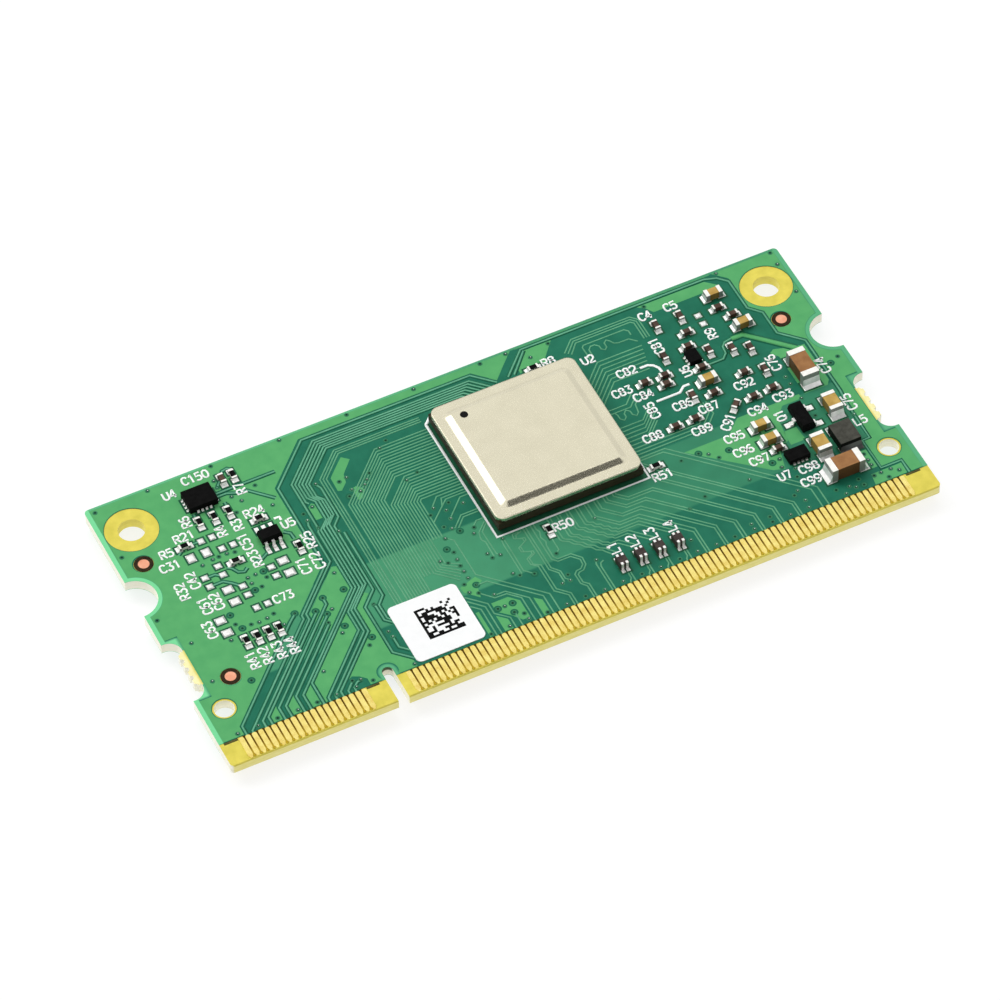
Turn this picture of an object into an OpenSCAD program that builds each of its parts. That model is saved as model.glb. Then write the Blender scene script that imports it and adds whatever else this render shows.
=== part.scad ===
// System on module: a small computer on an edge-connector card.
// X runs along the contact edge, +Y points away from the contacts, +Z is up.
// Z = 0 is the plane that the underside packages rest on.

/* [Board] */
// Length of the card along its contact edge
board_length = 67.6; // [64:0.1:76]
// Depth of the card from the contact edge to the back edge
board_depth = 31; // [30:0.1:36]
// Thickness of the laminate
board_thickness = 1; // [0.8:0.05:1.6]
// Radius of the outer corners
corner_radius = 0.4; // [0.1:0.05:0.8]
// Chamfer on both faces of the contact edge
edge_chamfer = 0.1; // [0.1:0.05:0.35]
// Thickness of the green mask film
mask_thickness = 0.04; // [0.02:0.01:0.06]
// Thickness of a tinned land
land_thickness = 0.06; // [0.04:0.01:0.1]
// Bare gap between a land and the mask round it
mask_gap = 0.06; // [0.02:0.01:0.08]

/* [Contact edge] */
// Distance between neighbouring contacts
contact_pitch = 0.6; // [0.55:0.01:0.65]
// Width of one contact
contact_width = 0.45; // [0.3:0.01:0.5]
// Length of one contact
contact_length = 2.4; // [1.8:0.05:3]
// Bare laminate between the contact tips and the edge
contact_inset = 0.12; // [0.12:0.01:0.5]
// Thickness of the gold-plated copper
contact_thickness = 0.05; // [0.03:0.01:0.08]
// Width of the narrow tip of a contact
tip_width = 0.14; // [0.05:0.01:0.25]
// Length over which the tip narrows
tip_length = 0.35; // [0.1:0.05:0.6]
// Contacts in the short row
short_row = 20; // [18:1:21]
// Contacts in the long row
long_row = 80; // [70:1:81]
// Centre of the first contact from the left edge
first_contact = 1.95; // [1.6:0.05:2.4]
// Distance between the two rows, centre to centre
row_gap = 4.2; // [3.6:0.1:5]
// Width of the key slot
slot_width = 1; // [0.8:0.05:1.4]
// Depth of the key slot
slot_depth = 3.75; // [3.2:0.05:4.5]
// Centre of the key slot from the first contact of the long row
slot_offset = 1.55; // [1.3:0.05:2.2]

/* [Holes and notches] */
// Diameter of the two screw holes at the back
screw_hole = 2.4; // [2.2:0.1:2.7]
// Diameter of the bare ring round a screw hole
screw_ring = 4.8; // [4:0.1:5.4]
// Screw hole centre from the side edge
screw_side = 2.9; // [2.8:0.05:4]
// Screw hole centre from the back edge
screw_back = 3.75; // [3:0.05:4.5]
// Diameter of the two tooling holes
tool_hole = 1.8; // [1.4:0.1:2]
// Diameter of the bare ring round a tooling hole
tool_ring = 2.1; // [2.05:0.05:2.4]
// Tooling hole centre from the side edge
tool_side = 2; // [1.6:0.05:2.6]
// Tooling hole centre from the contact edge
tool_front = 5.9; // [5.4:0.05:6.4]
// Radius of the round latch notch
latch_radius = 2.05; // [1.6:0.05:2.3]
// Latch notch centre from the contact edge
latch_front = 20.1; // [19:0.1:20.8]
// Depth of the lower side notch
notch_depth = 1.4; // [1:0.05:1.7]
// Height of the lower side notch
notch_height = 6.7; // [6:0.1:7]
// Lower side notch centre from the contact edge
notch_front = 11.15; // [10.8:0.05:11.5]
// Inner corner radius of the lower side notch
notch_radius = 1.2; // [0.6:0.05:1.3]
// Width of the broken-off panel tab in that notch
tab_width = 3.9; // [3:0.1:4]
// How far the tab stub stands out
tab_reach = 0.55; // [0.4:0.05:0.9]
// Diameter of the perforations that the tab broke along
tab_bite = 0.5; // [0.3:0.05:0.6]
// Diameter of a fiducial
fiducial = 1; // [0.8:0.05:1.2]
// Diameter of the bare ring round a fiducial
fiducial_ring = 1.8; // [1.5:0.05:2.2]

/* [Processor] */
// Side of the package substrate
package_side = 14; // [13.4:0.1:14.4]
// Thickness of the package substrate
package_thickness = 0.8; // [0.5:0.05:1]
// Height of the collapsed solder balls
ball_height = 0.3; // [0.2:0.05:0.4]
// Diameter of a collapsed solder ball
ball_diameter = 0.5; // [0.42:0.02:0.6]
// Distance between the processor's balls
ball_pitch = 1; // [0.9:0.05:1]
// Balls along each side of the processor
ball_rows = 13; // [9:1:14]
// Side of the metal lid
lid_side = 14; // [13.6:0.1:14.2]
// Corner radius of the lid
lid_corner = 0.8; // [0.4:0.1:1.2]
// Thickness of the lid's rim
rim_thickness = 0.44; // [0.4:0.01:0.6]
// Width of the lid's flat rim
rim_width = 0.9; // [0.7:0.05:1.2]
// Width of the bevel between the rim and the plateau
bevel_width = 0.6; // [0.4:0.05:0.8]
// Height of the plateau over the rim
plateau_height = 0.3; // [0.2:0.02:0.4]
// Thickness of the lid's plateau
lid_wall = 0.34; // [0.25:0.01:0.4]
// Side of the hollow under the lid
lid_hollow = 10.4; // [9.5:0.1:10.6]
// Thickness of the adhesive under the rim
adhesive_thickness = 0.06; // [0.03:0.01:0.1]
// Distance from the lid's edge to the adhesive
adhesive_inset = 0.3; // [0.2:0.05:0.5]
// Length of the silicon die
die_length = 7.6; // [6:0.1:9]
// Width of the silicon die
die_width = 7.2; // [6:0.1:9]
// Thickness of the thermal film between the die and the lid
film_thickness = 0.08; // [0.05:0.01:0.12]
// Diameter of the corner mark on the lid
mark_diameter = 0.74; // [0.5:0.02:1]
// Depth of the corner mark
mark_depth = 0.04; // [0.02:0.01:0.08]
// Corner mark centre from the plateau's left edge
mark_inset = 1; // [0.6:0.05:1.2]
// Corner mark centre from the plateau's back edge
mark_back = 0.58; // [0.55:0.01:1.2]

/* [Chips] */
// Length of the quad interface chip
quad_length = 2.65; // [2.4:0.05:2.8]
// Width of the quad interface chip
quad_width = 2.1; // [1.8:0.1:2.2]
// Height of the quad interface chip
quad_height = 0.75; // [0.6:0.05:0.9]
// Distance between the leads of a leadless chip
quad_pitch = 0.4; // [0.36:0.01:0.45]
// Length of the six-lead buffer chip
buffer_length = 2; // [1.8:0.1:2.3]
// Width of the six-lead buffer chip
buffer_width = 1.25; // [1.1:0.05:1.45]
// Height of the six-lead buffer chip
buffer_height = 0.9; // [0.7:0.05:1]
// Distance between the buffer's leads
buffer_pitch = 0.66; // [0.6:0.01:0.7]
// Length of the small regulator
regulator_length = 1.1; // [1:0.05:1.3]
// Width of the small regulator
regulator_width = 1.4; // [1.3:0.05:1.5]
// Height of the small regulator and the converter
regulator_height = 0.55; // [0.45:0.05:0.7]
// Length of the converter chip
converter_length = 2; // [1.8:0.05:2.1]
// Width of the converter chip
converter_width = 1.25; // [1:0.05:1.3]
// Length of the transistor
transistor_length = 2.9; // [2.6:0.1:3.1]
// Width of the transistor
transistor_width = 1.3; // [1.1:0.05:1.5]
// Height of the transistor
transistor_height = 1; // [0.9:0.05:1.2]
// Distance between the transistor's paired leads
transistor_pitch = 1.9; // [1.8:0.05:2]
// Thickness of a formed lead
lead_thickness = 0.12; // [0.08:0.01:0.15]
// How far a formed lead reaches out of its body
lead_reach = 0.55; // [0.45:0.05:0.65]
// Length of a formed lead's flat foot
lead_foot = 0.3; // [0.2:0.02:0.34]

/* [Coils] */
// Length of the power inductor
inductor_length = 2.45; // [2.2:0.05:2.6]
// Width of the power inductor
inductor_width = 2; // [1.8:0.1:2.2]
// Height of the power inductor
inductor_height = 0.95; // [0.8:0.05:1.2]
// Length of a line choke
choke_length = 1.2; // [1.1:0.05:1.4]
// Width of a line choke
choke_width = 0.9; // [0.8:0.05:1.1]
// Height of a line choke
choke_height = 0.8; // [0.6:0.05:1]
// Distance between neighbouring line chokes
choke_pitch = 1.8; // [1.6:0.05:2.1]

/* [Capacitors and resistors] */
// Length of a bulk capacitor
bulk_length = 3.2; // [3:0.1:3.4]
// Width of a bulk capacitor
bulk_width = 1.6; // [1.4:0.1:1.8]
// Height of a bulk capacitor
bulk_height = 1.45; // [1:0.05:1.6]
// Length of a large capacitor
large_length = 2; // [1.8:0.05:2.1]
// Width of a large capacitor
large_width = 1.25; // [1.1:0.05:1.35]
// Height of a large capacitor
large_height = 1.1; // [0.8:0.05:1.25]
// Length of a medium capacitor
medium_length = 1.6; // [1.4:0.05:1.7]
// Width of a medium capacitor
medium_width = 0.8; // [0.7:0.05:0.9]
// Height of a medium capacitor
medium_height = 0.8; // [0.6:0.05:0.9]
// Length of a small capacitor or resistor
small_length = 1; // [0.9:0.02:1.06]
// Width of a small capacitor or resistor
small_width = 0.5; // [0.42:0.02:0.56]
// Height of a small capacitor
small_height = 0.5; // [0.4:0.02:0.6]
// Height of a resistor
resistor_height = 0.35; // [0.28:0.01:0.45]
// Thickness of a resistor's black coat
coat_thickness = 0.04; // [0.02:0.01:0.06]
// Thickness of the metal on a chip's ends
plating = 0.03; // [0.02:0.005:0.05]

/* [Underside] */
// Length of the memory package
memory_length = 11.5; // [10:0.1:13]
// Width of the memory package
memory_width = 10; // [9:0.1:12]
// Length of the flash package
flash_length = 13; // [12:0.1:14]
// Width of the flash package
flash_width = 11.5; // [10:0.1:12]
// Height of both packages' mouldings
moulding_height = 0.75; // [0.6:0.05:1]
// Height of the balls under both packages
under_ball_height = 0.25; // [0.2:0.05:0.3]
// Distance between the balls under both packages
under_pitch = 1; // [0.8:0.05:1.1]
// Length of the crystal can
crystal_length = 2.5; // [2:0.1:3.2]
// Width of the crystal can
crystal_width = 2; // [1.6:0.1:2.5]
// Height of the crystal's ceramic base
crystal_base = 0.3; // [0.2:0.05:0.4]
// Height of the crystal's metal lid
crystal_lid = 0.25; // [0.15:0.05:0.35]

/* [Label] */
// Side of the square paper label
label_side = 6.5; // [5:0.1:7]
// Corner radius of the label
label_corner = 0.5; // [0.2:0.05:1]
// Thickness of the label
label_thickness = 0.08; // [0.05:0.01:0.15]

/* [Hidden] */
$fn = 64;
edge_x = board_length / 2;
edge_y = board_depth / 2;
board_z = moulding_height + under_ball_height + mask_thickness;
top_z = board_z + board_thickness;
film_z = top_z + mask_thickness;
land_z = top_z + land_thickness;
over = 1;                 // how far a cutter passes a face

// Contact rows
row_y = max(contact_inset, edge_chamfer + 0.02) - edge_y;
short_x = first_contact - edge_x;
long_x = short_x + (short_row - 1) * contact_pitch + row_gap;
slot_x = long_x - slot_offset;
mask_front = row_y + contact_length + mask_gap;

// Places on the board
screw_x = edge_x - screw_side;
screw_y = edge_y - screw_back;
tool_x = edge_x - tool_side;
tool_y = tool_front - edge_y;
latch_y = latch_front - edge_y;
notch_y = notch_front - edge_y;
notch_x = edge_x - notch_depth;
tab_bites = 4;            // perforations across the stub
tab_clear = 0.12;         // mask held back from the stub
fiducials = [[-31.5, 7.8], [-29.9, -6.7], [30.3, 7.7]];
label_at = [-11.85, -9.4];
processor_at = [4.25, 4.1];

// Processor stack over the mask film
package_z = film_z + ball_height;
rim_z = package_z + package_thickness + adhesive_thickness;
plateau_z = rim_z + rim_thickness;
ceiling_z = plateau_z + plateau_height - lid_wall;
die_z = package_z + package_thickness;
die_height = ceiling_z - film_thickness - die_z;
plateau_base = lid_side / 2 - rim_width;
plateau_top = plateau_base - bevel_width;
plateau_corner = 0.75;    // radius at the foot of the bevel
mark_x = mark_inset - plateau_top;
mark_y = plateau_top - mark_back;

// Lands: how far one reaches past a chip's end, under it and beside it
toe = 0.3;
toe_large = 0.48;
heel = 0.25;
heel_large = 0.45;
side = 0.05;
band = 0.18;              // metal band on a small chip's end
band_choke = 0.25;
band_medium = 0.36;
band_large = 0.38;
band_bulk = 0.55;
fillet_rise = 0.6;        // share of a chip's end that solder climbs
fillet_lip = 0.03;        // solder thickness at the land's edge
fillet_waist = 0.35;      // share of the fillet's run and rise at its hollow
draft = 0.1;              // moulding draft on each side of a chip body
parting = 0.45;           // parting line's share of a moulded body's height
body_lift = 0.04;         // gap under a body that stands on formed leads
lead_neck = 0.1;          // lead run between its body and its first bend
lead_root = 0.12;         // lead buried in the moulding
wide_lead = 0.42;         // transistor lead width
slim_lead = 0.26;         // buffer lead width
pad_lead = 0.22;          // leadless chip lead width
pad_depth = 0.3;          // leadless lead length under the body
pad_height = 0.18;        // leadless lead height on the body's side
pad_proud = 0.04;         // leadless lead standing out of the body
pad_toe = 0.18;           // land beyond a leadless chip
foot_toe = 0.4;           // land beyond a formed lead

// Placements: x, y and turn of each piece on the top face
resistors = [
  [-25.4, 9.7, 90], [-24, 9.7, 90], [-22.6, 9.7, 90], [-27.65, 7.85, 0], [-24.35, 4.4, 0],
  [-20.6, 7.8, 0], [-18.75, 3.4, 90], [-20.6, 13.3, 90], [-27.15, -3.95, 90], [-26.1, -3.95, 90],
  [-25.05, -3.95, 90], [-24.05, -3.95, 90], [1.2, -4.7, 90], [12.65, -2.5, 0], [8.1, 12.4, 0]
];
small_caps = [
  [-21.65, 13.2, 90], [19.95, 11.85, 90], [22.35, 11.9, 90], [22, 9.95, 0], [18.95, 8.3, 90],
  [21.35, 8.45, 0], [22.8, 7.2, 90], [21.35, 5.75, 0], [16.05, 6.4, 0], [18, 6.35, 0],
  [17.7, 5.4, 0], [19.15, 3.15, 90], [20.95, 2.65, 0], [25.8, 11.3, 0], [26.6, 10, 0],
  [24.75, 6.5, 90], [26.2, 5.85, 90], [24.4, 3.55, 0], [26.2, 3.05, 90], [16.2, 0.7, 0],
  [18.15, 0.75, 0], [22, 0.5, 45], [23.85, 0.7, 0], [25.8, 0.85, 0], [23.05, -5.55, 0]
];
medium_caps = [[26.1, 12.8, 0], [26.9, 8.6, 0], [21.15, 4.15, 0], [22.8, -2.65, 0], [22.85, -4.4, 0]];
large_caps = [[29.45, -3.4, 90], [26.4, -7.05, 90]];
bulk_caps = [[29.1, 1.4, 90], [27.1, -10.2, 0]];
bare_medium = [[-26.9, 6.5, 0], [-26.2, 1.2, 90], [-20.65, 2, 90], [-28.2, -1.6, 90]];
bare_small = [
  [-25.55, 7.85, 0], [-24.25, 6.3, 0], [-25.9, 4.15, 90], [-27.45, 3.45, 90],
  [-24.9, 1.2, 90], [-21.85, 2, 90], [-24.3, -0.95, 0], [23.9, 10.85, 90]
];
choke_at = [5.15, -10.85];
choke_count = 4;
chokes = [for (i = [0:choke_count - 1]) [choke_at.x + i * choke_pitch, choke_at.y, 90]];
quad_at = [-24.3, 12.05, 0];
buffer_at = [-20.6, 5.5, 0];
regulator_at = [21.2, 7.1, 0];
converter_at = [24.15, -6.95, 0];
transistor_at = [26.4, -3.5, 90];
inductor_at = [28.8, -7, 90];

// Placements on the underside
memory_at = processor_at;
flash_at = [-14, 2.4];
crystal_at = [16.5, -5, 0];
under_row_gap = 1.6;      // package edge to the middle of its capacitor row
memory_row = 7;
memory_row_pitch = 2;
flash_row = 4;
flash_row_pitch = 3;
supply_row = 5;
supply_row_pitch = 1.8;
supply_at = [20, 6];
reserve_row = 3;
reserve_row_pitch = 2.6;
reserve_at = [21, 1.5];
function row_of(start, count, pitch, y) = [for (i = [0:count - 1]) [start + i * pitch, y, 90]];
function centred(middle, count, pitch) = middle - (count - 1) * pitch / 2;
memory_row_x = centred(memory_at.x, memory_row, memory_row_pitch);
memory_row_y = memory_width / 2 + under_row_gap;
flash_row_x = centred(flash_at.x, flash_row, flash_row_pitch);
flash_row_y = flash_width / 2 + under_row_gap;
under_caps = concat(
  row_of(memory_row_x, memory_row, memory_row_pitch, memory_at.y - memory_row_y),
  row_of(memory_row_x, memory_row, memory_row_pitch, memory_at.y + memory_row_y),
  row_of(flash_row_x, flash_row, flash_row_pitch, flash_at.y - flash_row_y),
  row_of(supply_at.x, supply_row, supply_row_pitch, supply_at.y)
);
under_medium = row_of(reserve_at.x, reserve_row, reserve_row_pitch, reserve_at.y);

// Shared shapes

module rounded_square(length, width, radius) {
  square([length - 2 * radius, width], center = true);
  square([length, width - 2 * radius], center = true);
  for (sx = [-1, 1], sy = [-1, 1])
    translate([sx * (length / 2 - radius), sy * (width / 2 - radius)])
      circle(radius);
}

module both_ends() {
  children();
  mirror([1, 0, 0])
    children();
}

module at(places) {
  for (p = places)
    translate([p.x, p.y, 0])
      rotate(p.z)
        children();
}

module on_top() {
  translate([0, 0, land_z])
    children();
}

module underneath() {
  translate([0, 0, board_z - land_thickness])
    mirror([0, 0, 1])
      children();
}

// A moulded block that narrows away from its parting line on all four sides
module moulded_block(length, width, height, lift = 0) {
  seam = height * parting;
  intersection() {
    rotate([90, 0, 0])
      linear_extrude(width, center = true)
        moulded_section(length, lift, seam, height);
    rotate([90, 0, 90])
      linear_extrude(length, center = true)
        moulded_section(width, lift, seam, height);
  }
}

module moulded_section(width, lift, seam, height)
  polygon([
    [-width / 2, seam], [draft - width / 2, lift], [width / 2 - draft, lift],
    [width / 2, seam], [width / 2 - draft, height], [draft - width / 2, height]
  ]);

// Board outline

module lower_notch() {
  translate([edge_x, notch_y])
    rounded_square(2 * notch_depth, notch_height, notch_radius);
}

// The stub keeps half of each perforation that the tab broke along
module tab_stub() {
  spacing = tab_width / tab_bites;
  difference() {
    translate([notch_x - over, notch_y - tab_width / 2])
      square([over + tab_reach, tab_width]);
    for (i = [0:tab_bites])
      translate([notch_x + tab_reach, notch_y + (i - tab_bites / 2) * spacing])
        circle(d = tab_bite);
  }
}

module key_slot() {
  translate([slot_x - slot_width / 2, -edge_y - over])
    square([slot_width, slot_depth - slot_width / 2 + over]);
  translate([slot_x, slot_depth - slot_width / 2 - edge_y])
    circle(d = slot_width);
}

module board_outline() {
  difference() {
    rounded_square(board_length, board_depth, corner_radius);
    both_ends()
      lower_notch();
    both_ends()
      translate([edge_x, latch_y])
        circle(latch_radius);
    key_slot();
  }
}

module at_screw_holes()
  both_ends()
    translate([screw_x, screw_y])
      children();

module at_tool_holes()
  both_ends()
    translate([tool_x, tool_y])
      children();

module edge_bevels() {
  for (z = [board_z, top_z])
    translate([0, -edge_y, z])
      rotate([45, 0, 0])
        cube([board_length + 2 * over, edge_chamfer * sqrt(2), edge_chamfer * sqrt(2)], center = true);
}

module circuit_board() {
  color("khaki")
    difference() {
      translate([0, 0, board_z])
        linear_extrude(board_thickness)
          difference() {
            union() {
              board_outline();
              both_ends()
                tab_stub();
            }
            at_screw_holes()
              circle(d = screw_hole);
            at_tool_holes()
              circle(d = tool_hole);
          }
      edge_bevels();
    }
}

// Film over one face, open at the contacts, the holes, the tab stubs and the lands
module mask_sheet() {
  difference() {
    board_outline();
    translate([-edge_x - over, -edge_y - over])
      square([board_length + 2 * over, mask_front + edge_y + over]);
    at_screw_holes()
      circle(d = screw_ring);
    at_tool_holes()
      circle(d = tool_ring);
    both_ends()
      translate([notch_x - tab_clear, notch_y - tab_width / 2 - tab_clear])
        square([notch_depth, tab_width + 2 * tab_clear]);
    children();
  }
}

module solder_mask_top() {
  color("seagreen")
    translate([0, 0, top_z])
      linear_extrude(mask_thickness)
        mask_sheet() {
          union() {
            for (p = fiducials)
              translate(p)
                circle(d = fiducial_ring);
            bare_lands(mask_gap);
            top_lands(mask_gap);
          }
        }
}

module solder_mask_bottom() {
  color("seagreen")
    translate([0, 0, board_z - mask_thickness])
      linear_extrude(mask_thickness)
        mask_sheet()
          bottom_lands(mask_gap);
}

// Edge contacts

module contact() {
  shoulder = contact_length - contact_width / 2;
  translate([-contact_width / 2, tip_length])
    square([contact_width, shoulder - tip_length]);
  translate([0, shoulder])
    circle(d = contact_width);
  polygon([
    [-tip_width / 2, 0], [tip_width / 2, 0], [contact_width / 2, tip_length], [-contact_width / 2, tip_length]
  ]);
}

module contact_row(start, count, z) {
  color("gold")
    for (i = [0:count - 1])
      translate([start + i * contact_pitch, row_y, z])
        linear_extrude(contact_thickness)
          contact();
}

module contacts_top_short() contact_row(short_x, short_row, top_z);
module contacts_top_long() contact_row(long_x, long_row, top_z);
module contacts_bottom_short() contact_row(short_x, short_row, board_z - contact_thickness);
module contacts_bottom_long() contact_row(long_x, long_row, board_z - contact_thickness);

module fiducials() {
  color("peru")
    for (p = fiducials)
      translate([p.x, p.y, top_z])
        cylinder(h = land_thickness, d = fiducial);
}

module label() {
  color("white")
    translate([label_at.x, label_at.y, film_z])
      linear_extrude(label_thickness)
        rounded_square(label_side, label_side, label_corner);
}

// Lands

module chip_lands(length, width, reach, inset, grow) {
  for (s = [-1, 1])
    translate([s * (length + reach - inset) / 2, 0])
      square([reach + inset + 2 * grow, width + 2 * side + 2 * grow], center = true);
}

module small_lands(grow) chip_lands(small_length, small_width, toe, heel, grow);
module medium_lands(grow) chip_lands(medium_length, medium_width, toe, heel_large, grow);

module bare_lands(grow) {
  at(bare_medium)
    medium_lands(grow);
  at(bare_small)
    small_lands(grow);
}

module choke_lands(grow) {
  for (s = [-1, 1])
    translate([0, s * choke_width / 4])
      chip_lands(choke_length, choke_width / 4, toe, heel, grow);
}

// Lands along two opposite sides, one under each lead
module lead_lands(count, pitch, span, depth, wide, grow) {
  for (i = [0:count - 1])
    for (s = [-1, 1])
      translate([(i - (count - 1) / 2) * pitch, s * (span - depth) / 2])
        square([wide + 2 * grow, depth + 2 * grow], center = true);
}

module quad_lands(grow) {
  lead_lands(4, quad_pitch, quad_width + 2 * pad_toe, pad_depth + pad_toe, pad_lead, grow);
  rotate(90)
    lead_lands(4, quad_pitch, quad_length + 2 * pad_toe, pad_depth + pad_toe, pad_lead, grow);
}

module buffer_lands(grow)
  lead_lands(3, buffer_pitch, buffer_width + 2 * (lead_reach + foot_toe), lead_foot + foot_toe + side,
    slim_lead + 2 * side, grow);

module regulator_lands(grow)
  rotate(90)
    lead_lands(3, quad_pitch, regulator_length + 2 * pad_toe, pad_depth + pad_toe, pad_lead, grow);

module converter_lands(grow)
  lead_lands(4, quad_pitch, converter_width + 2 * pad_toe, pad_depth + pad_toe, pad_lead, grow);

module transistor_lands(grow) {
  depth = lead_foot + foot_toe + side;
  out = transistor_width / 2 + lead_reach + foot_toe - depth / 2;
  for (s = [-1, 1])
    translate([s * transistor_pitch / 2, -out])
      square([wide_lead + 2 * side + 2 * grow, depth + 2 * grow], center = true);
  translate([0, out])
    square([wide_lead + 2 * side + 2 * grow, depth + 2 * grow], center = true);
}

module top_lands(grow) {
  at(concat(resistors, small_caps))
    small_lands(grow);
  at(medium_caps)
    medium_lands(grow);
  at(large_caps)
    chip_lands(large_length, large_width, toe_large, heel_large, grow);
  at(bulk_caps)
    chip_lands(bulk_length, bulk_width, toe_large, heel_large, grow);
  at([inductor_at])
    chip_lands(inductor_length, inductor_width, toe_large, heel_large, grow);
  at(chokes)
    choke_lands(grow);
  at([quad_at])
    quad_lands(grow);
  at([buffer_at])
    buffer_lands(grow);
  at([regulator_at])
    regulator_lands(grow);
  at([converter_at])
    converter_lands(grow);
  at([transistor_at])
    transistor_lands(grow);
}

module bottom_lands(grow) {
  at(under_caps)
    small_lands(grow);
  at(under_medium)
    medium_lands(grow);
  at([crystal_at])
    chip_lands(crystal_length, crystal_width, toe, heel_large, grow);
}

module lands_bare() {
  color("gainsboro")
    translate([0, 0, top_z])
      linear_extrude(land_thickness)
        bare_lands(0);
}

module lands_top() {
  color("gainsboro")
    translate([0, 0, top_z])
      linear_extrude(land_thickness)
        top_lands(0);
}

module lands_bottom() {
  color("gainsboro")
    translate([0, 0, board_z - land_thickness])
      linear_extrude(land_thickness)
        bottom_lands(0);
}

// Hollow solder wedge from a land up the end of a chip
module fillet_pair(length, width, height, reach) {
  rise = height * fillet_rise;
  for (turn = [0, 180])
    rotate(turn)
      translate([length / 2, 0, 0])
        rotate([90, 0, 0])
          linear_extrude(width, center = true)
            polygon([
              [0, 0], [reach, 0], [reach, fillet_lip],
              [reach * fillet_waist, rise * fillet_waist], [0, rise]
            ]);
}

module solder_fillets() {
  color("silver")
    on_top() {
      at(small_caps)
        fillet_pair(small_length, small_width, small_height, toe);
      at(resistors)
        fillet_pair(small_length, small_width, resistor_height, toe);
      at(medium_caps)
        fillet_pair(medium_length, medium_width, medium_height, toe);
      at(large_caps)
        fillet_pair(large_length, large_width, large_height, toe_large);
      at(bulk_caps)
        fillet_pair(bulk_length, bulk_width, bulk_height, toe_large);
      at([inductor_at])
        fillet_pair(inductor_length, inductor_width, inductor_height, toe_large);
    }
}

// Processor

module ball(height) {
  intersection() {
    translate([0, 0, height / 2])
      sphere(d = ball_diameter);
    translate([-ball_diameter, -ball_diameter, 0])
      cube([2 * ball_diameter, 2 * ball_diameter, height]);
  }
}

module ball_grid(columns, rows, pitch, height) {
  for (i = [0:columns - 1])
    for (j = [0:rows - 1])
      translate([(i - (columns - 1) / 2) * pitch, (j - (rows - 1) / 2) * pitch, 0])
        ball(height);
}

module over_processor(z) {
  translate([processor_at.x, processor_at.y, z])
    children();
}

module processor_balls() {
  color("silver")
    over_processor(film_z)
      ball_grid(ball_rows, ball_rows, ball_pitch, ball_height);
}

module processor_substrate() {
  color("#2c2616")
    over_processor(package_z)
      linear_extrude(package_thickness)
        square(package_side, center = true);
}

module processor_die() {
  color("slategray")
    over_processor(die_z)
      linear_extrude(die_height)
        square([die_length, die_width], center = true);
}

module thermal_film() {
  color("lightgray")
    over_processor(ceiling_z - film_thickness)
      linear_extrude(film_thickness)
        square([die_length, die_width], center = true);
}

module lid_adhesive() {
  color("dimgray")
    over_processor(die_z)
      linear_extrude(adhesive_thickness)
        difference() {
          square(min(package_side, lid_side) - 2 * adhesive_inset, center = true);
          square(lid_hollow, center = true);
        }
}

// Raised centre of the lid: four bevelled sides joined by quarter cones
module plateau() {
  reach = plateau_base - plateau_corner;
  section = [
    [-plateau_base, 0], [plateau_base, 0], [plateau_top, plateau_height], [-plateau_top, plateau_height]
  ];
  rotate([90, 0, 0])
    linear_extrude(2 * reach, center = true)
      polygon(section);
  rotate([90, 0, 90])
    linear_extrude(2 * reach, center = true)
      polygon(section);
  for (sx = [-1, 1], sy = [-1, 1])
    translate([sx * reach, sy * reach, 0])
      cylinder(h = plateau_height, r1 = plateau_corner, r2 = plateau_corner - bevel_width);
}

module processor_lid() {
  color("#d6cfb9")
    over_processor(0)
      difference() {
        union() {
          translate([0, 0, rim_z])
            linear_extrude(rim_thickness)
              rounded_square(lid_side, lid_side, lid_corner);
          translate([0, 0, plateau_z])
            plateau();
        }
        translate([0, 0, rim_z - over])
          linear_extrude(ceiling_z - rim_z + over)
            square(lid_hollow, center = true);
        translate([mark_x, mark_y, plateau_z + plateau_height - mark_depth])
          cylinder(h = over, d = mark_diameter);
      }
}

// Leadless chips: square bodies over flat leads that show at their sides

module side_leads(count, pitch, width) {
  for (i = [0:count - 1])
    for (s = [-1, 1])
      translate([(i - (count - 1) / 2) * pitch, s * (width + 2 * pad_proud - pad_depth) / 2, pad_height / 2])
        cube([pad_lead, pad_depth, pad_height], center = true);
}

module leadless_body(length, width, height) {
  difference() {
    translate([0, 0, height / 2])
      cube([length, width, height], center = true);
    children();
  }
}

module quad_leads() {
  side_leads(4, quad_pitch, quad_width);
  rotate(90)
    side_leads(4, quad_pitch, quad_length);
}

module quad_chip_body() {
  color("#1c1a1c")
    on_top()
      at([quad_at])
        leadless_body(quad_length, quad_width, quad_height)
          quad_leads();
}

module quad_chip_leads() {
  color("silver")
    on_top()
      at([quad_at])
        quad_leads();
}

module regulator_pads()
  rotate(90)
    side_leads(3, quad_pitch, regulator_length);

module regulator_body() {
  color("#1c1a1c")
    on_top()
      at([regulator_at])
        leadless_body(regulator_length, regulator_width, regulator_height)
          regulator_pads();
}

module regulator_leads() {
  color("silver")
    on_top()
      at([regulator_at])
        regulator_pads();
}

module converter_body() {
  color("#1c1a1c")
    on_top()
      at([converter_at])
        leadless_body(converter_length, converter_width, regulator_height)
          side_leads(4, quad_pitch, converter_width);
}

module converter_leads() {
  color("silver")
    on_top()
      at([converter_at])
        side_leads(4, quad_pitch, converter_width);
}

// Chips on formed leads

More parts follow.
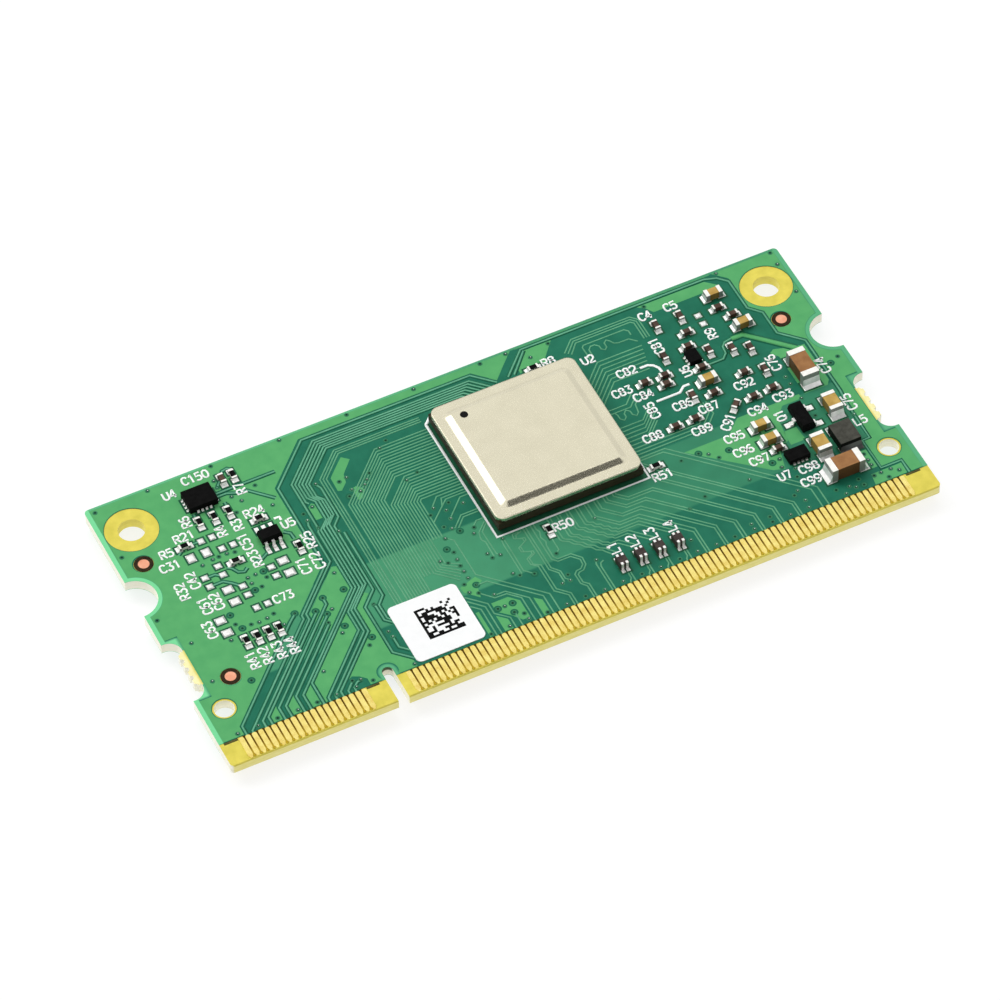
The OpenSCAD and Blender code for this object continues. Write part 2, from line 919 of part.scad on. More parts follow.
// One lead out along +Y: out of the moulding, down, and along its land
module formed_lead(body_width, shoulder, wide) {
  knee = lead_neck + lead_thickness;
  ankle = lead_reach - lead_foot;
  translate([0, body_width / 2, 0])
    rotate([90, 0, 90])
      linear_extrude(wide, center = true)
        polygon([
          [-lead_root, shoulder], [lead_neck, shoulder], [ankle - lead_thickness / 2, 0], [lead_reach, 0],
          [lead_reach, lead_thickness], [ankle, lead_thickness],
          [knee, shoulder + lead_thickness], [-lead_root, shoulder + lead_thickness]
        ]);
}

module buffer_leads() {
  shoulder = buffer_height * parting - lead_thickness / 2;
  for (turn = [0, 180], i = [-1, 0, 1])
    rotate(turn)
      translate([i * buffer_pitch, 0, 0])
        formed_lead(buffer_width, shoulder, slim_lead);
}

module buffer_chip_body() {
  color("#1a1a1a")
    on_top()
      at([buffer_at])
        difference() {
          moulded_block(buffer_length, buffer_width, buffer_height, body_lift);
          buffer_leads();
        }
}

module buffer_chip_leads() {
  color("silver")
    on_top()
      at([buffer_at])
        buffer_leads();
}

module transistor_legs() {
  shoulder = transistor_height * parting - lead_thickness / 2;
  formed_lead(transistor_width, shoulder, wide_lead);
  rotate(180)
    for (s = [-1, 1])
      translate([s * transistor_pitch / 2, 0, 0])
        formed_lead(transistor_width, shoulder, wide_lead);
}

module transistor_body() {
  color("#1a1a1a")
    on_top()
      at([transistor_at])
        difference() {
          moulded_block(transistor_length, transistor_width, transistor_height, body_lift);
          transistor_legs();
        }
}

module transistor_leads() {
  color("silver")
    on_top()
      at([transistor_at])
        transistor_legs();
}

// Chip pieces: a core, and metal ends that wrap it on five sides

module chip_core(length, width, height) {
  translate([0, 0, height / 2])
    cube([length - 2 * plating, width - 2 * plating, height - 2 * plating], center = true);
}

module chip_ends(length, width, height, wrap) {
  difference() {
    for (s = [-1, 1])
      translate([s * (length - wrap) / 2, 0, height / 2])
        cube([wrap, width, height], center = true);
    chip_core(length, width, height);
  }
}

module inductor_body() {
  color("#4a4a4a")
    on_top()
      at([inductor_at])
        chip_core(inductor_length, inductor_width + 2 * plating, inductor_height + 2 * plating);
}

// The coil's terminals fold from its ends under its body
module inductor_terminals() {
  fold = inductor_height * fillet_rise;
  color("silver")
    on_top()
      at([inductor_at])
        difference() {
          for (s = [-1, 1])
            translate([s * (inductor_length - band_bulk) / 2, 0, fold / 2])
              cube([band_bulk, inductor_width, fold], center = true);
          chip_core(inductor_length, inductor_width + 2 * plating, inductor_height + 2 * plating);
        }
}

module choke_bodies() {
  color("#2b2624")
    on_top()
      at(chokes)
        chip_core(choke_length, choke_width, choke_height);
}

// Four separate metal straps, one near each corner
module choke_terminals() {
  color("silver")
    on_top()
      at(chokes)
        difference() {
          for (sx = [-1, 1], sy = [-1, 1])
            translate([sx * (choke_length - band_choke) / 2, sy * choke_width / 4, choke_height / 2])
              cube([band_choke, choke_width / 4, choke_height], center = true);
          chip_core(choke_length, choke_width, choke_height);
        }
}

module bulk_capacitor_bodies() {
  color("#a8703f")
    on_top()
      at(bulk_caps)
        chip_core(bulk_length, bulk_width, bulk_height);
}

module bulk_capacitor_ends() {
  color("silver")
    on_top()
      at(bulk_caps)
        chip_ends(bulk_length, bulk_width, bulk_height, band_bulk);
}

module large_capacitor_bodies() {
  color("#c9a24a")
    on_top()
      at(large_caps)
        chip_core(large_length, large_width, large_height);
}

module large_capacitor_ends() {
  color("silver")
    on_top()
      at(large_caps)
        chip_ends(large_length, large_width, large_height, band_large);
}

module medium_capacitor_bodies() {
  color("#c9a24a")
    on_top()
      at(medium_caps)
        chip_core(medium_length, medium_width, medium_height);
}

module medium_capacitor_ends() {
  color("silver")
    on_top()
      at(medium_caps)
        chip_ends(medium_length, medium_width, medium_height, band_medium);
}

module small_capacitor_bodies() {
  color("#5a4030")
    on_top()
      at(small_caps)
        chip_core(small_length, small_width, small_height);
}

module small_capacitor_ends() {
  color("silver")
    on_top()
      at(small_caps)
        chip_ends(small_length, small_width, small_height, band);
}

// A resistor's ceramic core leaves room above it for the black coat
module resistor_core()
  chip_core(small_length, small_width, resistor_height);

module resistor_cores() {
  color("ivory")
    on_top()
      at(resistors)
        resistor_core();
}

module resistor_coats() {
  color("#141414")
    on_top()
      at(resistors)
        translate([0, 0, resistor_height - plating + coat_thickness / 2])
          cube([small_length - 2 * band, small_width - 2 * plating, coat_thickness], center = true);
}

module resistor_ends() {
  color("silver")
    on_top()
      at(resistors)
        chip_ends(small_length, small_width, resistor_height, band);
}

// Underside

module under_package(place, length, width) {
  color("#1d1d1f")
    translate([place.x, place.y, 0])
      linear_extrude(moulding_height)
        square([length, width], center = true);
}

module under_balls(place, length, width) {
  columns = floor(length / under_pitch) - 1;
  rows = floor(width / under_pitch) - 1;
  color("silver")
    translate([place.x, place.y, moulding_height])
      ball_grid(columns, rows, under_pitch, under_ball_height);
}

module memory_body() under_package(memory_at, memory_length, memory_width);
module memory_balls() under_balls(memory_at, memory_length, memory_width);
module flash_body() under_package(flash_at, flash_length, flash_width);
module flash_balls() under_balls(flash_at, flash_length, flash_width);

module crystal_base() {
  color("tan")
    underneath()
      at([crystal_at])
        translate([0, 0, crystal_base / 2])
          cube([crystal_length, crystal_width, crystal_base], center = true);
}

module crystal_can() {
  flange = 0.15;
  color("silver")
    underneath()
      at([crystal_at])
        translate([0, 0, crystal_base])
          linear_extrude(crystal_lid)
            rounded_square(crystal_length - 2 * flange, crystal_width - 2 * flange, 2 * flange);
}

module under_capacitor_bodies() {
  color("#5a4030")
    underneath()
      at(under_caps)
        chip_core(small_length, small_width, small_height);
}

module under_capacitor_ends() {
  color("silver")
    underneath()
      at(under_caps)
        chip_ends(small_length, small_width, small_height, band);
}

module under_medium_bodies() {
  color("#c9a24a")
    underneath()
      at(under_medium)
        chip_core(medium_length, medium_width, medium_height);
}

module under_medium_ends() {
  color("silver")
    underneath()
      at(under_medium)
        chip_ends(medium_length, medium_width, medium_height, band_medium);
}

circuit_board();
solder_mask_top();
solder_mask_bottom();
contacts_top_short();
contacts_top_long();
contacts_bottom_short();
contacts_bottom_long();
fiducials();
label();
lands_bare();
lands_top();
lands_bottom();
solder_fillets();
processor_balls();
processor_substrate();
processor_die();
thermal_film();
lid_adhesive();
processor_lid();
quad_chip_body();
quad_chip_leads();
buffer_chip_body();
buffer_chip_leads();
regulator_body();
regulator_leads();
converter_body();
converter_leads();
transistor_body();
transistor_leads();
inductor_body();
inductor_terminals();
choke_bodies();
choke_terminals();
bulk_capacitor_bodies();
bulk_capacitor_ends();
large_capacitor_bodies();
large_capacitor_ends();
medium_capacitor_bodies();
medium_capacitor_ends();
small_capacitor_bodies();
small_capacitor_ends();
resistor_cores();
resistor_coats();
resistor_ends();
memory_body();
memory_balls();
flash_body();
flash_balls();
crystal_base();
crystal_can();
under_capacitor_bodies();
under_capacitor_ends();
under_medium_bodies();
under_medium_ends();
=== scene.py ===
import math

import bmesh
import bpy
from mathutils import Matrix, Vector


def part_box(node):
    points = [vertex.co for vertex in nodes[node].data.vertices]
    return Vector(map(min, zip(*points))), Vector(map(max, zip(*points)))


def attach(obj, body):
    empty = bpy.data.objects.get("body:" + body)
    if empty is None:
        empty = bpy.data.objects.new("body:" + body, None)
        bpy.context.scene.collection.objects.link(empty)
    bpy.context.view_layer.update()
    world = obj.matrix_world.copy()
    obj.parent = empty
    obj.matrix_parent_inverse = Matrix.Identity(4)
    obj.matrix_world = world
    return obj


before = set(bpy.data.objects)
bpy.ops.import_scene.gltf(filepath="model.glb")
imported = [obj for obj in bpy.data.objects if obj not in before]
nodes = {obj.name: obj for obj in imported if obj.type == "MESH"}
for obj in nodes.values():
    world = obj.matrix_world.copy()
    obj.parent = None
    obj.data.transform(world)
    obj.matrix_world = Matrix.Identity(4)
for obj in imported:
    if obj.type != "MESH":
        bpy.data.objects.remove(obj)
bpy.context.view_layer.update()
mm = .001
print("frame loaded,", len(nodes), "nodes")


# heights of the thin layers on the board's top face, in mm
layers = {
    "inside": 2.07,   # pours, borders and discs reach down to here, into the mask
    "pour": 2.085,
    "gap": 2.088,
    "trace": 2.094,
    "ink": 2.101,
    "paper": 2.16,
}
layerStep = .002   # keeps two of them from sharing a face, mm

features = {   # places on the card, mm: |x| and y where both sides have one
    "edge": 33.36,   # |x| where the copper stops
    "latch": (33.8, 4.6),
    "notch": 32.2,   # |x| of the lower notch's inner side
    "screw": (30.9, 11.75),
    "slot": (-17.795, -12.25),   # the key slot's round end
}


# materials

grainDepth = .02 * mm   # depth of every grain bump
cloudDetail, grainDetail = 3, 2   # of the noises for tone and for roughness
noiseSpan = (.3, .7)   # the middle part of a noise, where tone and roughness change
wallSpan = (.2, .8)   # upward part of the normal, from a wall to a level face
sideSpan = (.3, .8)   # sideways part of the normal, from a front wall to a side wall
bevelSamples = 8


def paint(red, green, blue):   # screen tones from 0 to 255 as linear light
    linear = []
    for part in (red, green, blue):
        share = part / 255
        linear.append(share / 12.92 if share <= .04045 else ((share + .055) / 1.055) ** 2.4)
    return (*linear, 1)


def addNode(tree, kind, **settings):
    node = tree.nodes.new(kind)
    for name, value in settings.items():
        setattr(node, name, value)
    return node


def feed(tree, socket, value):   # links a socket, sets a number or a colour
    if isinstance(value, bpy.types.NodeSocket):
        tree.links.new(value, socket)
    elif value is not None:
        socket.default_value = value


def startMaterial(name):
    material = bpy.data.materials.new(name)
    material.use_nodes = True
    tree = material.node_tree
    place = addNode(tree, "ShaderNodeTexCoord")
    return material, tree, tree.nodes["Principled BSDF"], place.outputs["Object"]


def addNoise(tree, place, scale, detail, stretch=None):
    if stretch:
        mapping = addNode(tree, "ShaderNodeMapping")
        feed(tree, mapping.inputs["Scale"], stretch)
        feed(tree, mapping.inputs["Vector"], place)
        place = mapping.outputs["Vector"]
    noise = addNode(tree, "ShaderNodeTexNoise")
    for label, value in (("Vector", place), ("Scale", scale), ("Detail", detail)):
        feed(tree, noise.inputs[label], value)
    return noise.outputs["Fac"]


def addRamp(tree, factor, stops):
    ramp = addNode(tree, "ShaderNodeValToRGB")
    elements = ramp.color_ramp.elements
    for element, (position, tone) in zip(elements, (stops[0], stops[-1])):
        element.position = position
        element.color = paint(*tone)
    for position, tone in stops[1:-1]:
        elements.new(position).color = paint(*tone)
    feed(tree, ramp.inputs["Fac"], factor)
    return ramp.outputs["Color"]


def addTones(tree, noise, tones):
    return addRamp(tree, noise, list(zip(noiseSpan, tones)))


def addRange(tree, value, low, high, least=0, most=1):
    spread = addNode(tree, "ShaderNodeMapRange", interpolation_type="SMOOTHSTEP")
    for socket, number in zip(spread.inputs, (value, low, high, least, most)):
        feed(tree, socket, number)
    return spread.outputs["Result"]


def addSpan(tree, value, low, high, least=0, most=1):   # low and high in mm
    return addRange(tree, value, low * mm, high * mm, least, most)


def addMath(tree, operation, first, second=None):
    node = addNode(tree, "ShaderNodeMath", operation=operation)
    feed(tree, node.inputs[0], first)
    feed(tree, node.inputs[1], second)
    return node.outputs["Value"]


def addChain(tree, operation, *values):   # takes the values together, one after the other
    total = values[0]
    for value in values[1:]:
        total = addMath(tree, operation, total, value)
    return total


def addMix(tree, factor, first, second, blend="MIX"):   # 6, 7 and 2 are the colour sockets
    mix = addNode(tree, "ShaderNodeMix", data_type="RGBA", blend_type=blend)
    for key, value in (("Factor", factor), (6, first), (7, second)):
        feed(tree, mix.inputs[key], value)
    return mix.outputs[2]


def addSplit(tree, vector):
    split = addNode(tree, "ShaderNodeSeparateXYZ")
    feed(tree, split.inputs["Vector"], vector)
    return [split.outputs[axis] for axis in "XYZ"]


def addFacing(tree):   # the parts of the face's normal
    return addSplit(tree, addNode(tree, "ShaderNodeNewGeometry").outputs["Normal"])


def addUpright(tree, facingZ):   # 1 on a wall, 0 on a level face
    return addRange(tree, addMath(tree, "ABSOLUTE", facingZ), *wallSpan, 1, 0)


def addReach(tree, x, y, centreX, centreY):   # distance from a centre given in mm
    squares = []
    for value, middle in ((x, centreX), (y, centreY)):
        offset = addMath(tree, "SUBTRACT", value, middle * mm)
        squares.append(addMath(tree, "MULTIPLY", offset, offset))
    return addMath(tree, "SQRT", addMath(tree, "ADD", *squares))


def addSurface(tree, shader, place, colour, grain, rough, specular, bump, stretch=None):
    fine = addNoise(tree, place, grain, grainDetail, stretch)
    feed(tree, shader.inputs["Base Color"], colour)
    feed(tree, shader.inputs["Roughness"], addRange(tree, fine, *noiseSpan, *rough))
    feed(tree, shader.inputs["Specular IOR Level"], specular)
    if not bump:
        return None
    relief = addNode(tree, "ShaderNodeBump")
    for label, value in (("Strength", bump), ("Distance", grainDepth), ("Height", fine)):
        feed(tree, relief.inputs[label], value)
    feed(tree, shader.inputs["Normal"], relief.outputs["Normal"])
    return relief


def finish(name, dark, light, scale=900, grain=9000, rough=(.3, .45), metal=0, bump=.15,
           specular=.5, stretch=None, soften=0, wallShade=1):
    material, tree, shader, place = startMaterial(name)
    colour = addTones(tree, addNoise(tree, place, scale, cloudDetail, stretch), (dark, light))
    # painted shade: upright faces keep only the wallShade share of the colour, for the shade on the sides
    if wallShade < 1:   # upright faces keep only this share of the colour
        upright = addUpright(tree, addFacing(tree)[2])
        colour = addMix(tree, upright, colour, (wallShade, wallShade, wallShade, 1), "MULTIPLY")
    relief = addSurface(tree, shader, place, colour, grain, rough, specular, bump, stretch)
    shader.inputs["Metallic"].default_value = metal
    if soften:   # stamped edges look rounded over this radius, mm
        rounded = addNode(tree, "ShaderNodeBevel", samples=bevelSamples)
        rounded.inputs["Radius"].default_value = soften * mm
        feed(tree, relief.inputs["Normal"], rounded.outputs["Normal"])
    return material


maskFinish = {
    "bare": ((22, 102, 78), (30, 112, 86)),
    "edge": (120, 214, 152),
    "edgeLine": features["edge"],
    "backLine": 15.27,   # y where the copper stops, mm
    "backShare": .6,
    "rightShare": .5,   # the right rim is less pale
    "lean": 10,   # the change from left to right takes this much on each side, mm
    "latch": (*features["latch"], 2.42),   # latch notch centre and rim radius
    "notch": (features["notch"], -7.9, -.75),   # |x|, low y and high y of the rectangle at the lower notch
    "notchShare": .25,
    "slot": (*features["slot"], .95),   # centre and rim radius
    "slotShare": .5,
    "soft": .06,   # half the width of a soft rim, mm
    "notchFade": 6,   # softer rims, as multiples of it
    "notchEnds": 4,
    "slotFade": 5,
    "clouds": 700,
    "surface": (5000, (.34, .46), .12, .08),   # grain, roughness, specular, bump
}


def solderMask(settings):
    material, tree, shader, place = startMaterial("solderMaskGreen")
    x, y, _ = addSplit(tree, place)
    across = addMath(tree, "ABSOLUTE", x)
    soft, line, backLine = (settings[key] for key in ("soft", "edgeLine", "backLine"))
    side = addSpan(tree, across, line - soft, line + soft)
    lean = addSpan(tree, x, -settings["lean"], settings["lean"], 1, settings["rightShare"])
    back = addSpan(tree, y, backLine - soft, backLine + soft, 0, settings["backShare"])
    latchX, latchY, latchR = settings["latch"]
    latch = addSpan(tree, addReach(tree, across, y, latchX, latchY), latchR - soft, latchR + soft, 1, 0)
    notchX, notchLow, notchHigh = settings["notch"]
    fade, ends, slotFade = (settings[key] * soft for key in ("notchFade", "notchEnds", "slotFade"))
    inX = addSpan(tree, across, notchX - soft, notchX + fade, settings["notchShare"])   # paler outward
    inLow = addSpan(tree, y, notchLow - soft, notchLow + ends)
    inHigh = addSpan(tree, y, notchHigh - ends, notchHigh + soft, 1, 0)
    notch = addChain(tree, "MULTIPLY", inX, inLow, inHigh)
    slotX, slotY, slotR = settings["slot"]
    fromSlot = addReach(tree, x, addMath(tree, "MAXIMUM", y, slotY * mm), slotX, slotY)
    slot = addSpan(tree, fromSlot, slotR - slotFade, slotR, settings["slotShare"], 0)
    edge = addMath(tree, "MULTIPLY", addChain(tree, "MAXIMUM", side, back, latch, notch, slot), lean)
    bare = addTones(tree, addNoise(tree, place, settings["clouds"], cloudDetail), settings["bare"])
    colour = addMix(tree, edge, bare, paint(*settings["edge"]))
    addSurface(tree, shader, place, colour, *settings["surface"])
    return material


laminateFinish = {
    "top": ((208, 195, 73), (228, 213, 88)),
    # painted light: the wall tones are paler than the top, for light glowing through the cut edges; the
    # contact edge stays yellow and the other walls are near white
    "front": ((238, 227, 132), (248, 238, 156)),   # wall of the contact edge
    "end": ((246, 243, 220), (253, 251, 238)),   # the other walls
    # painted light: the screw bores' walls are a brighter yellow than the top
    "bore": ((232, 220, 104), (242, 231, 124)),
    "stub": ((240, 231, 158), (250, 243, 186)),   # the broken tabs are paler
    # painted shade on the key slot's round end: pale low down, dark high under the mask
    "slot": ((240, 238, 224), (58, 80, 48)),   # low and high on the slot's round end
    "clouds": 900,
    "weave": (1, 1, 6),   # stretch of the clouds
    "frontY": (-14.9, -14.5),   # only the contact edge is yellow, mm
    "stubX": (features["notch"], 32.6),   # |x| where the tabs begin, mm
    "stubY": -4.35,   # middle of the tabs, mm
    "stubHalf": (3.3, 3.6),   # their half width, mm
    "slotNear": (.9, 1.1),   # how far its shade reaches sideways, as shares of the rim's radius
    "slotDeep": (-.1, .3),   # where the round end begins, mm from its centre
    "slotPast": (2, 3),   # where its shade ends, mm from its centre
    "slotHigh": (1.6, 1.75),   # dark only under the mask, mm
    "screwReach": (1.6, 1.8),   # radius that the bore's tone fades over, mm
    "surface": (7000, (.45, .6), .3, .2),   # grain, roughness, specular, bump
}


def laminate(settings):
    material, tree, shader, place = startMaterial("glassLaminate")
    weave = addNoise(tree, place, settings["clouds"], cloudDetail, settings["weave"])
    tones = {part: addTones(tree, weave, settings[part]) for part in ("top", "front", "end", "bore", "stub")}
    x, y, z = addSplit(tree, place)
    facingX, _, facingZ = addFacing(tree)
    across = addMath(tree, "ABSOLUTE", x)
    fromStub = addMath(tree, "ABSOLUTE", addMath(tree, "SUBTRACT", y, settings["stubY"] * mm))
    onStub = addMath(tree, "MULTIPLY", addSpan(tree, across, *settings["stubX"]),
                     addSpan(tree, fromStub, *settings["stubHalf"], 1, 0))
    level = addMix(tree, onStub, tones["top"], tones["stub"])
    # painted light: walls take paler tones than the top, and side walls paler still
    sideways = addRange(tree, addMath(tree, "ABSOLUTE", facingX), *sideSpan)
    behind = addSpan(tree, y, *settings["frontY"])
    walls = addMix(tree, addMath(tree, "MAXIMUM", sideways, behind), tones["front"], tones["end"])
    slotX, slotY, slotR = maskFinish["slot"]
    fromSlot = addMath(tree, "ABSOLUTE", addMath(tree, "SUBTRACT", x, slotX * mm))
    nearSlot = addSpan(tree, fromSlot, *(share * slotR for share in settings["slotNear"]), 1, 0)
    deepSlot = addSpan(tree, y, *(slotY + step for step in settings["slotDeep"]))
    pastSlot = addSpan(tree, y, *(slotY + step for step in settings["slotPast"]), 1, 0)
    # painted shade high on the slot's round end
    slotTones = addRamp(tree, addSpan(tree, z, *settings["slotHigh"]), list(enumerate(settings["slot"])))
    walls = addMix(tree, addChain(tree, "MULTIPLY", deepSlot, pastSlot, nearSlot), walls, slotTones)
    # painted light in the screw bores
    inBore = addSpan(tree, addReach(tree, across, y, *features["screw"]), *settings["screwReach"], 1, 0)
    walls = addMix(tree, inBore, walls, tones["bore"])
    colour = addMix(tree, addUpright(tree, facingZ), level, walls)
    addSurface(tree, shader, place, colour, *settings["surface"])
    return material


# painted shade on the laminate between the contacts: lighter at the front, darker towards the back
gapShadeFade = {   # tones between the contacts, from the front to the back, mm
    "front": -15.3,
    "back": -13,
    "tones": [(0, (190, 160, 46)), (.45, (118, 86, 10)), (1, (80, 58, 6))],
    "surface": (7000, (.5, .7), .02, 0),   # grain, roughness, specular, bump
}


def contactGapShade(settings):
    material, tree, shader, place = startMaterial("contactGapShade")
    fade = addSpan(tree, addSplit(tree, place)[1], settings["front"], settings["back"])
    addSurface(tree, shader, place, addRamp(tree, fade, settings["tones"]), *settings["surface"])
    return material


looks = {   # name, dark and light tone, scale of the clouds and of the grain, roughness, metal, bump
    "mask": solderMask(maskFinish),
    "pour": finish("copperPourUnderMask", (81, 162, 100), (89, 170, 105), 900, 5000, (.32, .44), bump=.08,
                   specular=.12),
    # the ribbons under the traces: partly the pours' real clearance, partly painted shade beside each trace;
    # the via rings use it too
    "gap": finish("clearanceShadeLine", (22, 94, 68), (30, 104, 76), 900, 5000, (.4, .5), specular=.1),
    "trace": finish("traceUnderMask", (88, 158, 124), (102, 172, 138), 700, 5000, (.3, .42), bump=.08,
                    specular=.15),
    "fineTrace": finish("fineTraceUnderMask", (86, 154, 116), (100, 168, 128), 700, 5000, (.3, .42), bump=.08,
                        specular=.15),
    "viaRim": finish("viaRim", (34, 104, 72), (50, 122, 86), 900, 5000, (.3, .4), specular=.2),
    "viaWell": finish("viaWell", (6, 44, 30), (12, 58, 40), 900, 5000, (.3, .4), specular=.1),
    "glint": finish("viaGlint", (206, 226, 214), (236, 248, 240), 2500, 9000, (.2, .3), .4),
    "ink": finish("legendInk", (244, 248, 245), (253, 254, 253), 1800, 9000, (.5, .65), bump=.2, specular=.2),
    "laminate": laminate(laminateFinish),
    "contactGapShade": contactGapShade(gapShadeFade),
    "maskEdge": finish("maskEdgeShadow", (74, 72, 34), (94, 90, 46), 1500, 7000, (.5, .6), specular=.2),
    "gold": finish("goldPlate", (236, 209, 112), (254, 238, 146), 1400, 9000, (.24, .4), 1, .3),
    "copper": finish("bareCopper", (230, 154, 120), (244, 180, 148), 1500, 9000, (.35, .5), .7, .2),
    "ring": finish("clearanceRing", (34, 24, 10), (54, 40, 18), 1500, 9000, (.4, .55), specular=.1),
    # dark rims round the lands: partly the mask opening's own edge, partly painted shade round the lands and
    # parts; also the painted shadow under the processor
    "shadeBorder": finish("landShadeBorder", (26, 82, 56), (36, 96, 66), 1500, 9000, (.4, .55), specular=.1),
    "tin": finish("tinPlate", (234, 233, 229), (250, 249, 247), 2500, 9000, (.32, .5), .5, .25),
    # painted shade: the chip ends are the tin finish with upright faces darkened by wallShade
    "chipEnd": finish("chipEnd", (234, 233, 226), (250, 249, 243), 2500, 9000, (.32, .5), .5, .25, wallShade=.38),
    "darkTin": finish("darkTin", (34, 33, 31), (52, 50, 47), 2500, 9000, (.4, .55), .2, .3),
    # tin painted dark grey, so that the converter's leads hardly show
    "darkGreyTin": finish("darkGreyTin", (84, 82, 78), (112, 109, 104), 2500, 9000, (.4, .55), .5, .3),
    "solder": finish("solder", (232, 232, 229), (250, 250, 248), 2500, 7000, (.28, .42), .55, .2),
    "nickel": finish("nickelLid", (220, 214, 189), (226, 220, 195), 500, 14000, (.18, .28), .92, .2,
                     soften=.22),
    "mark": finish("lidMark", (10, 10, 10), (22, 21, 20), 3000, 9000, (.6, .8), specular=.1),
    "substrate": finish("chipSubstrate", (34, 30, 16), (52, 46, 24), 1500, 8000, (.45, .6), bump=.2,
                        specular=.2, stretch=(1, 1, 8)),
    "silicon": finish("siliconDie", (60, 62, 70), (78, 80, 90), 1500, 8000, (.12, .2), .5),
    "film": finish("thermalFilm", (150, 150, 148), (176, 176, 172), 1500, 8000, (.5, .7)),
    "adhesive": finish("lidAdhesive", (30, 28, 24), (46, 42, 36), 1500, 8000, (.5, .7), specular=.2),
    "moulding": finish("blackMoulding", (9, 9, 9), (17, 17, 17), 2500, 16000, (.5, .7), bump=.5,
                       specular=.03),
    # painted shade: the ferrite's upright faces are darkened by wallShade
    "ferrite": finish("ferrite", (58, 58, 52), (76, 76, 69), 2500, 12000, (.5, .7), bump=.4, specular=.1,
                      wallShade=.12),
    "choke": finish("chokeBody", (46, 39, 37), (68, 57, 53), 2500, 12000, (.4, .55), bump=.3, specular=.2),
    # painted shade: these ceramic bodies' upright faces are darkened by wallShade
    "brownCeramic": finish("brownCeramic", (139, 95, 55), (163, 117, 71), 1200, 9000, (.4, .55), specular=.2,
                           wallShade=.3),
    "goldCeramic": finish("goldenCeramic", (173, 138, 65), (199, 166, 91), 1200, 9000, (.4, .55), specular=.2,
                          wallShade=.5),
    "darkCeramic": finish("darkCeramic", (62, 46, 38), (88, 66, 54), 1500, 9000, (.4, .55), specular=.2),
    "whiteCeramic": finish("whiteCeramic", (214, 212, 204), (234, 232, 226), 1500, 9000, (.5, .65)),
    "coat": finish("resistorCoat", (9, 9, 10), (17, 17, 18), 2500, 12000, (.4, .55), bump=.3, specular=.03),
    "paper": finish("labelPaper", (242, 243, 243), (246, 247, 247), 1200, 9000, (.55, .7), bump=.2,
                    specular=.2),
    "print": finish("labelPrint", (8, 8, 8), (18, 18, 18), 2500, 9000, (.55, .7), specular=.05),
}
print("materials made,", len(looks))

nodeLooks = {
    "laminate": ["circuit_board"],
    "mask": ["solder_mask_top", "solder_mask_bottom"],
    "gold": ["contacts_top_short", "contacts_top_long", "contacts_bottom_short", "contacts_bottom_long"],
    "copper": ["fiducials"],
    "paper": ["label"],
    "tin": ["lands_bare", "lands_top", "lands_bottom", "quad_chip_leads", "buffer_chip_leads",
            "regulator_leads", "transistor_leads", "choke_terminals"],
    "chipEnd": ["bulk_capacitor_ends", "large_capacitor_ends", "medium_capacitor_ends",
                "small_capacitor_ends", "resistor_ends", "under_capacitor_ends", "under_medium_ends"],
    "darkGreyTin": ["converter_leads"],
    "darkTin": ["inductor_terminals"],
    "solder": ["solder_fillets", "processor_balls", "memory_balls", "flash_balls"],
    "substrate": ["processor_substrate"],
    "silicon": ["processor_die"],
    "film": ["thermal_film"],
    "adhesive": ["lid_adhesive"],
    "nickel": ["processor_lid", "crystal_can"],
    "moulding": ["quad_chip_body", "buffer_chip_body", "regulator_body", "converter_body",
                 "transistor_body", "memory_body", "flash_body", "crystal_base"],
    "ferrite": ["inductor_body"],
    "choke": ["choke_bodies"],
    "brownCeramic": ["bulk_capacitor_bodies", "under_medium_bodies"],
    "goldCeramic": ["large_capacitor_bodies", "medium_capacitor_bodies"],
    "darkCeramic": ["small_capacitor_bodies", "under_capacitor_bodies"],
    "whiteCeramic": ["resistor_cores"],
    "coat": ["resistor_coats"],
}
for look, names in nodeLooks.items():
    for name in names:
        nodes[name].data.materials.clear()
        nodes[name].data.materials.append(looks[look])


jointShadow = {   # the solder in the inductor's shadow: mm round the front edge of its body
    "looks": ("solder", "tin"),
    "left": .2,
    "right": .1,
    "front": .9,
    "behind": .3,
    "share": .12,
}


# painted shadow: multiplies one finish's colour down inside a box
def shadeBox(look, low, high, share):   # dulls one finish between two corners, in metres
    tree = looks[look].node_tree
    socket = tree.nodes["Principled BSDF"].inputs["Base Color"]
    place = addNode(tree, "ShaderNodeTexCoord").outputs["Object"]
    sides = []
    for value, least, most in zip(addSplit(tree, place), low, high):
        sides += [addMath(tree, "GREATER_THAN", value, least), addMath(tree, "LESS_THAN", value, most)]
    inside = addChain(tree, "MULTIPLY", *sides)
    shaded = addMix(tree, inside, socket.links[0].from_socket, (share, share, share, 1), "MULTIPLY")
    feed(tree, socket, shaded)


inductorLow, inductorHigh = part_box("inductor_body")
for look in jointShadow["looks"]:
    shadeBox(look, (inductorLow[0] - jointShadow["left"] * mm, inductorLow[1] - jointShadow["front"] * mm),
             (inductorHigh[0] + jointShadow["right"] * mm, inductorLow[1] + jointShadow["behind"] * mm),
             jointShadow["share"])
print("finishes put on the frame's nodes")


# geometry node trees

tileThickness = .006   # of the label's print, mm


def startTree(name, inputs):
    tree = bpy.data.node_groups.new(name, "GeometryNodeTree")
    tree.is_modifier = True
    for way in ("OUTPUT", "INPUT"):
        tree.interface.new_socket("Geometry", in_out=way, socket_type="NodeSocketGeometry")
    for label, kind in inputs + [("Material", "Material")]:
        tree.interface.new_socket(label, in_out="INPUT", socket_type="NodeSocket" + kind)
    return tree, addNode(tree, "NodeGroupInput").outputs, tree.links.new


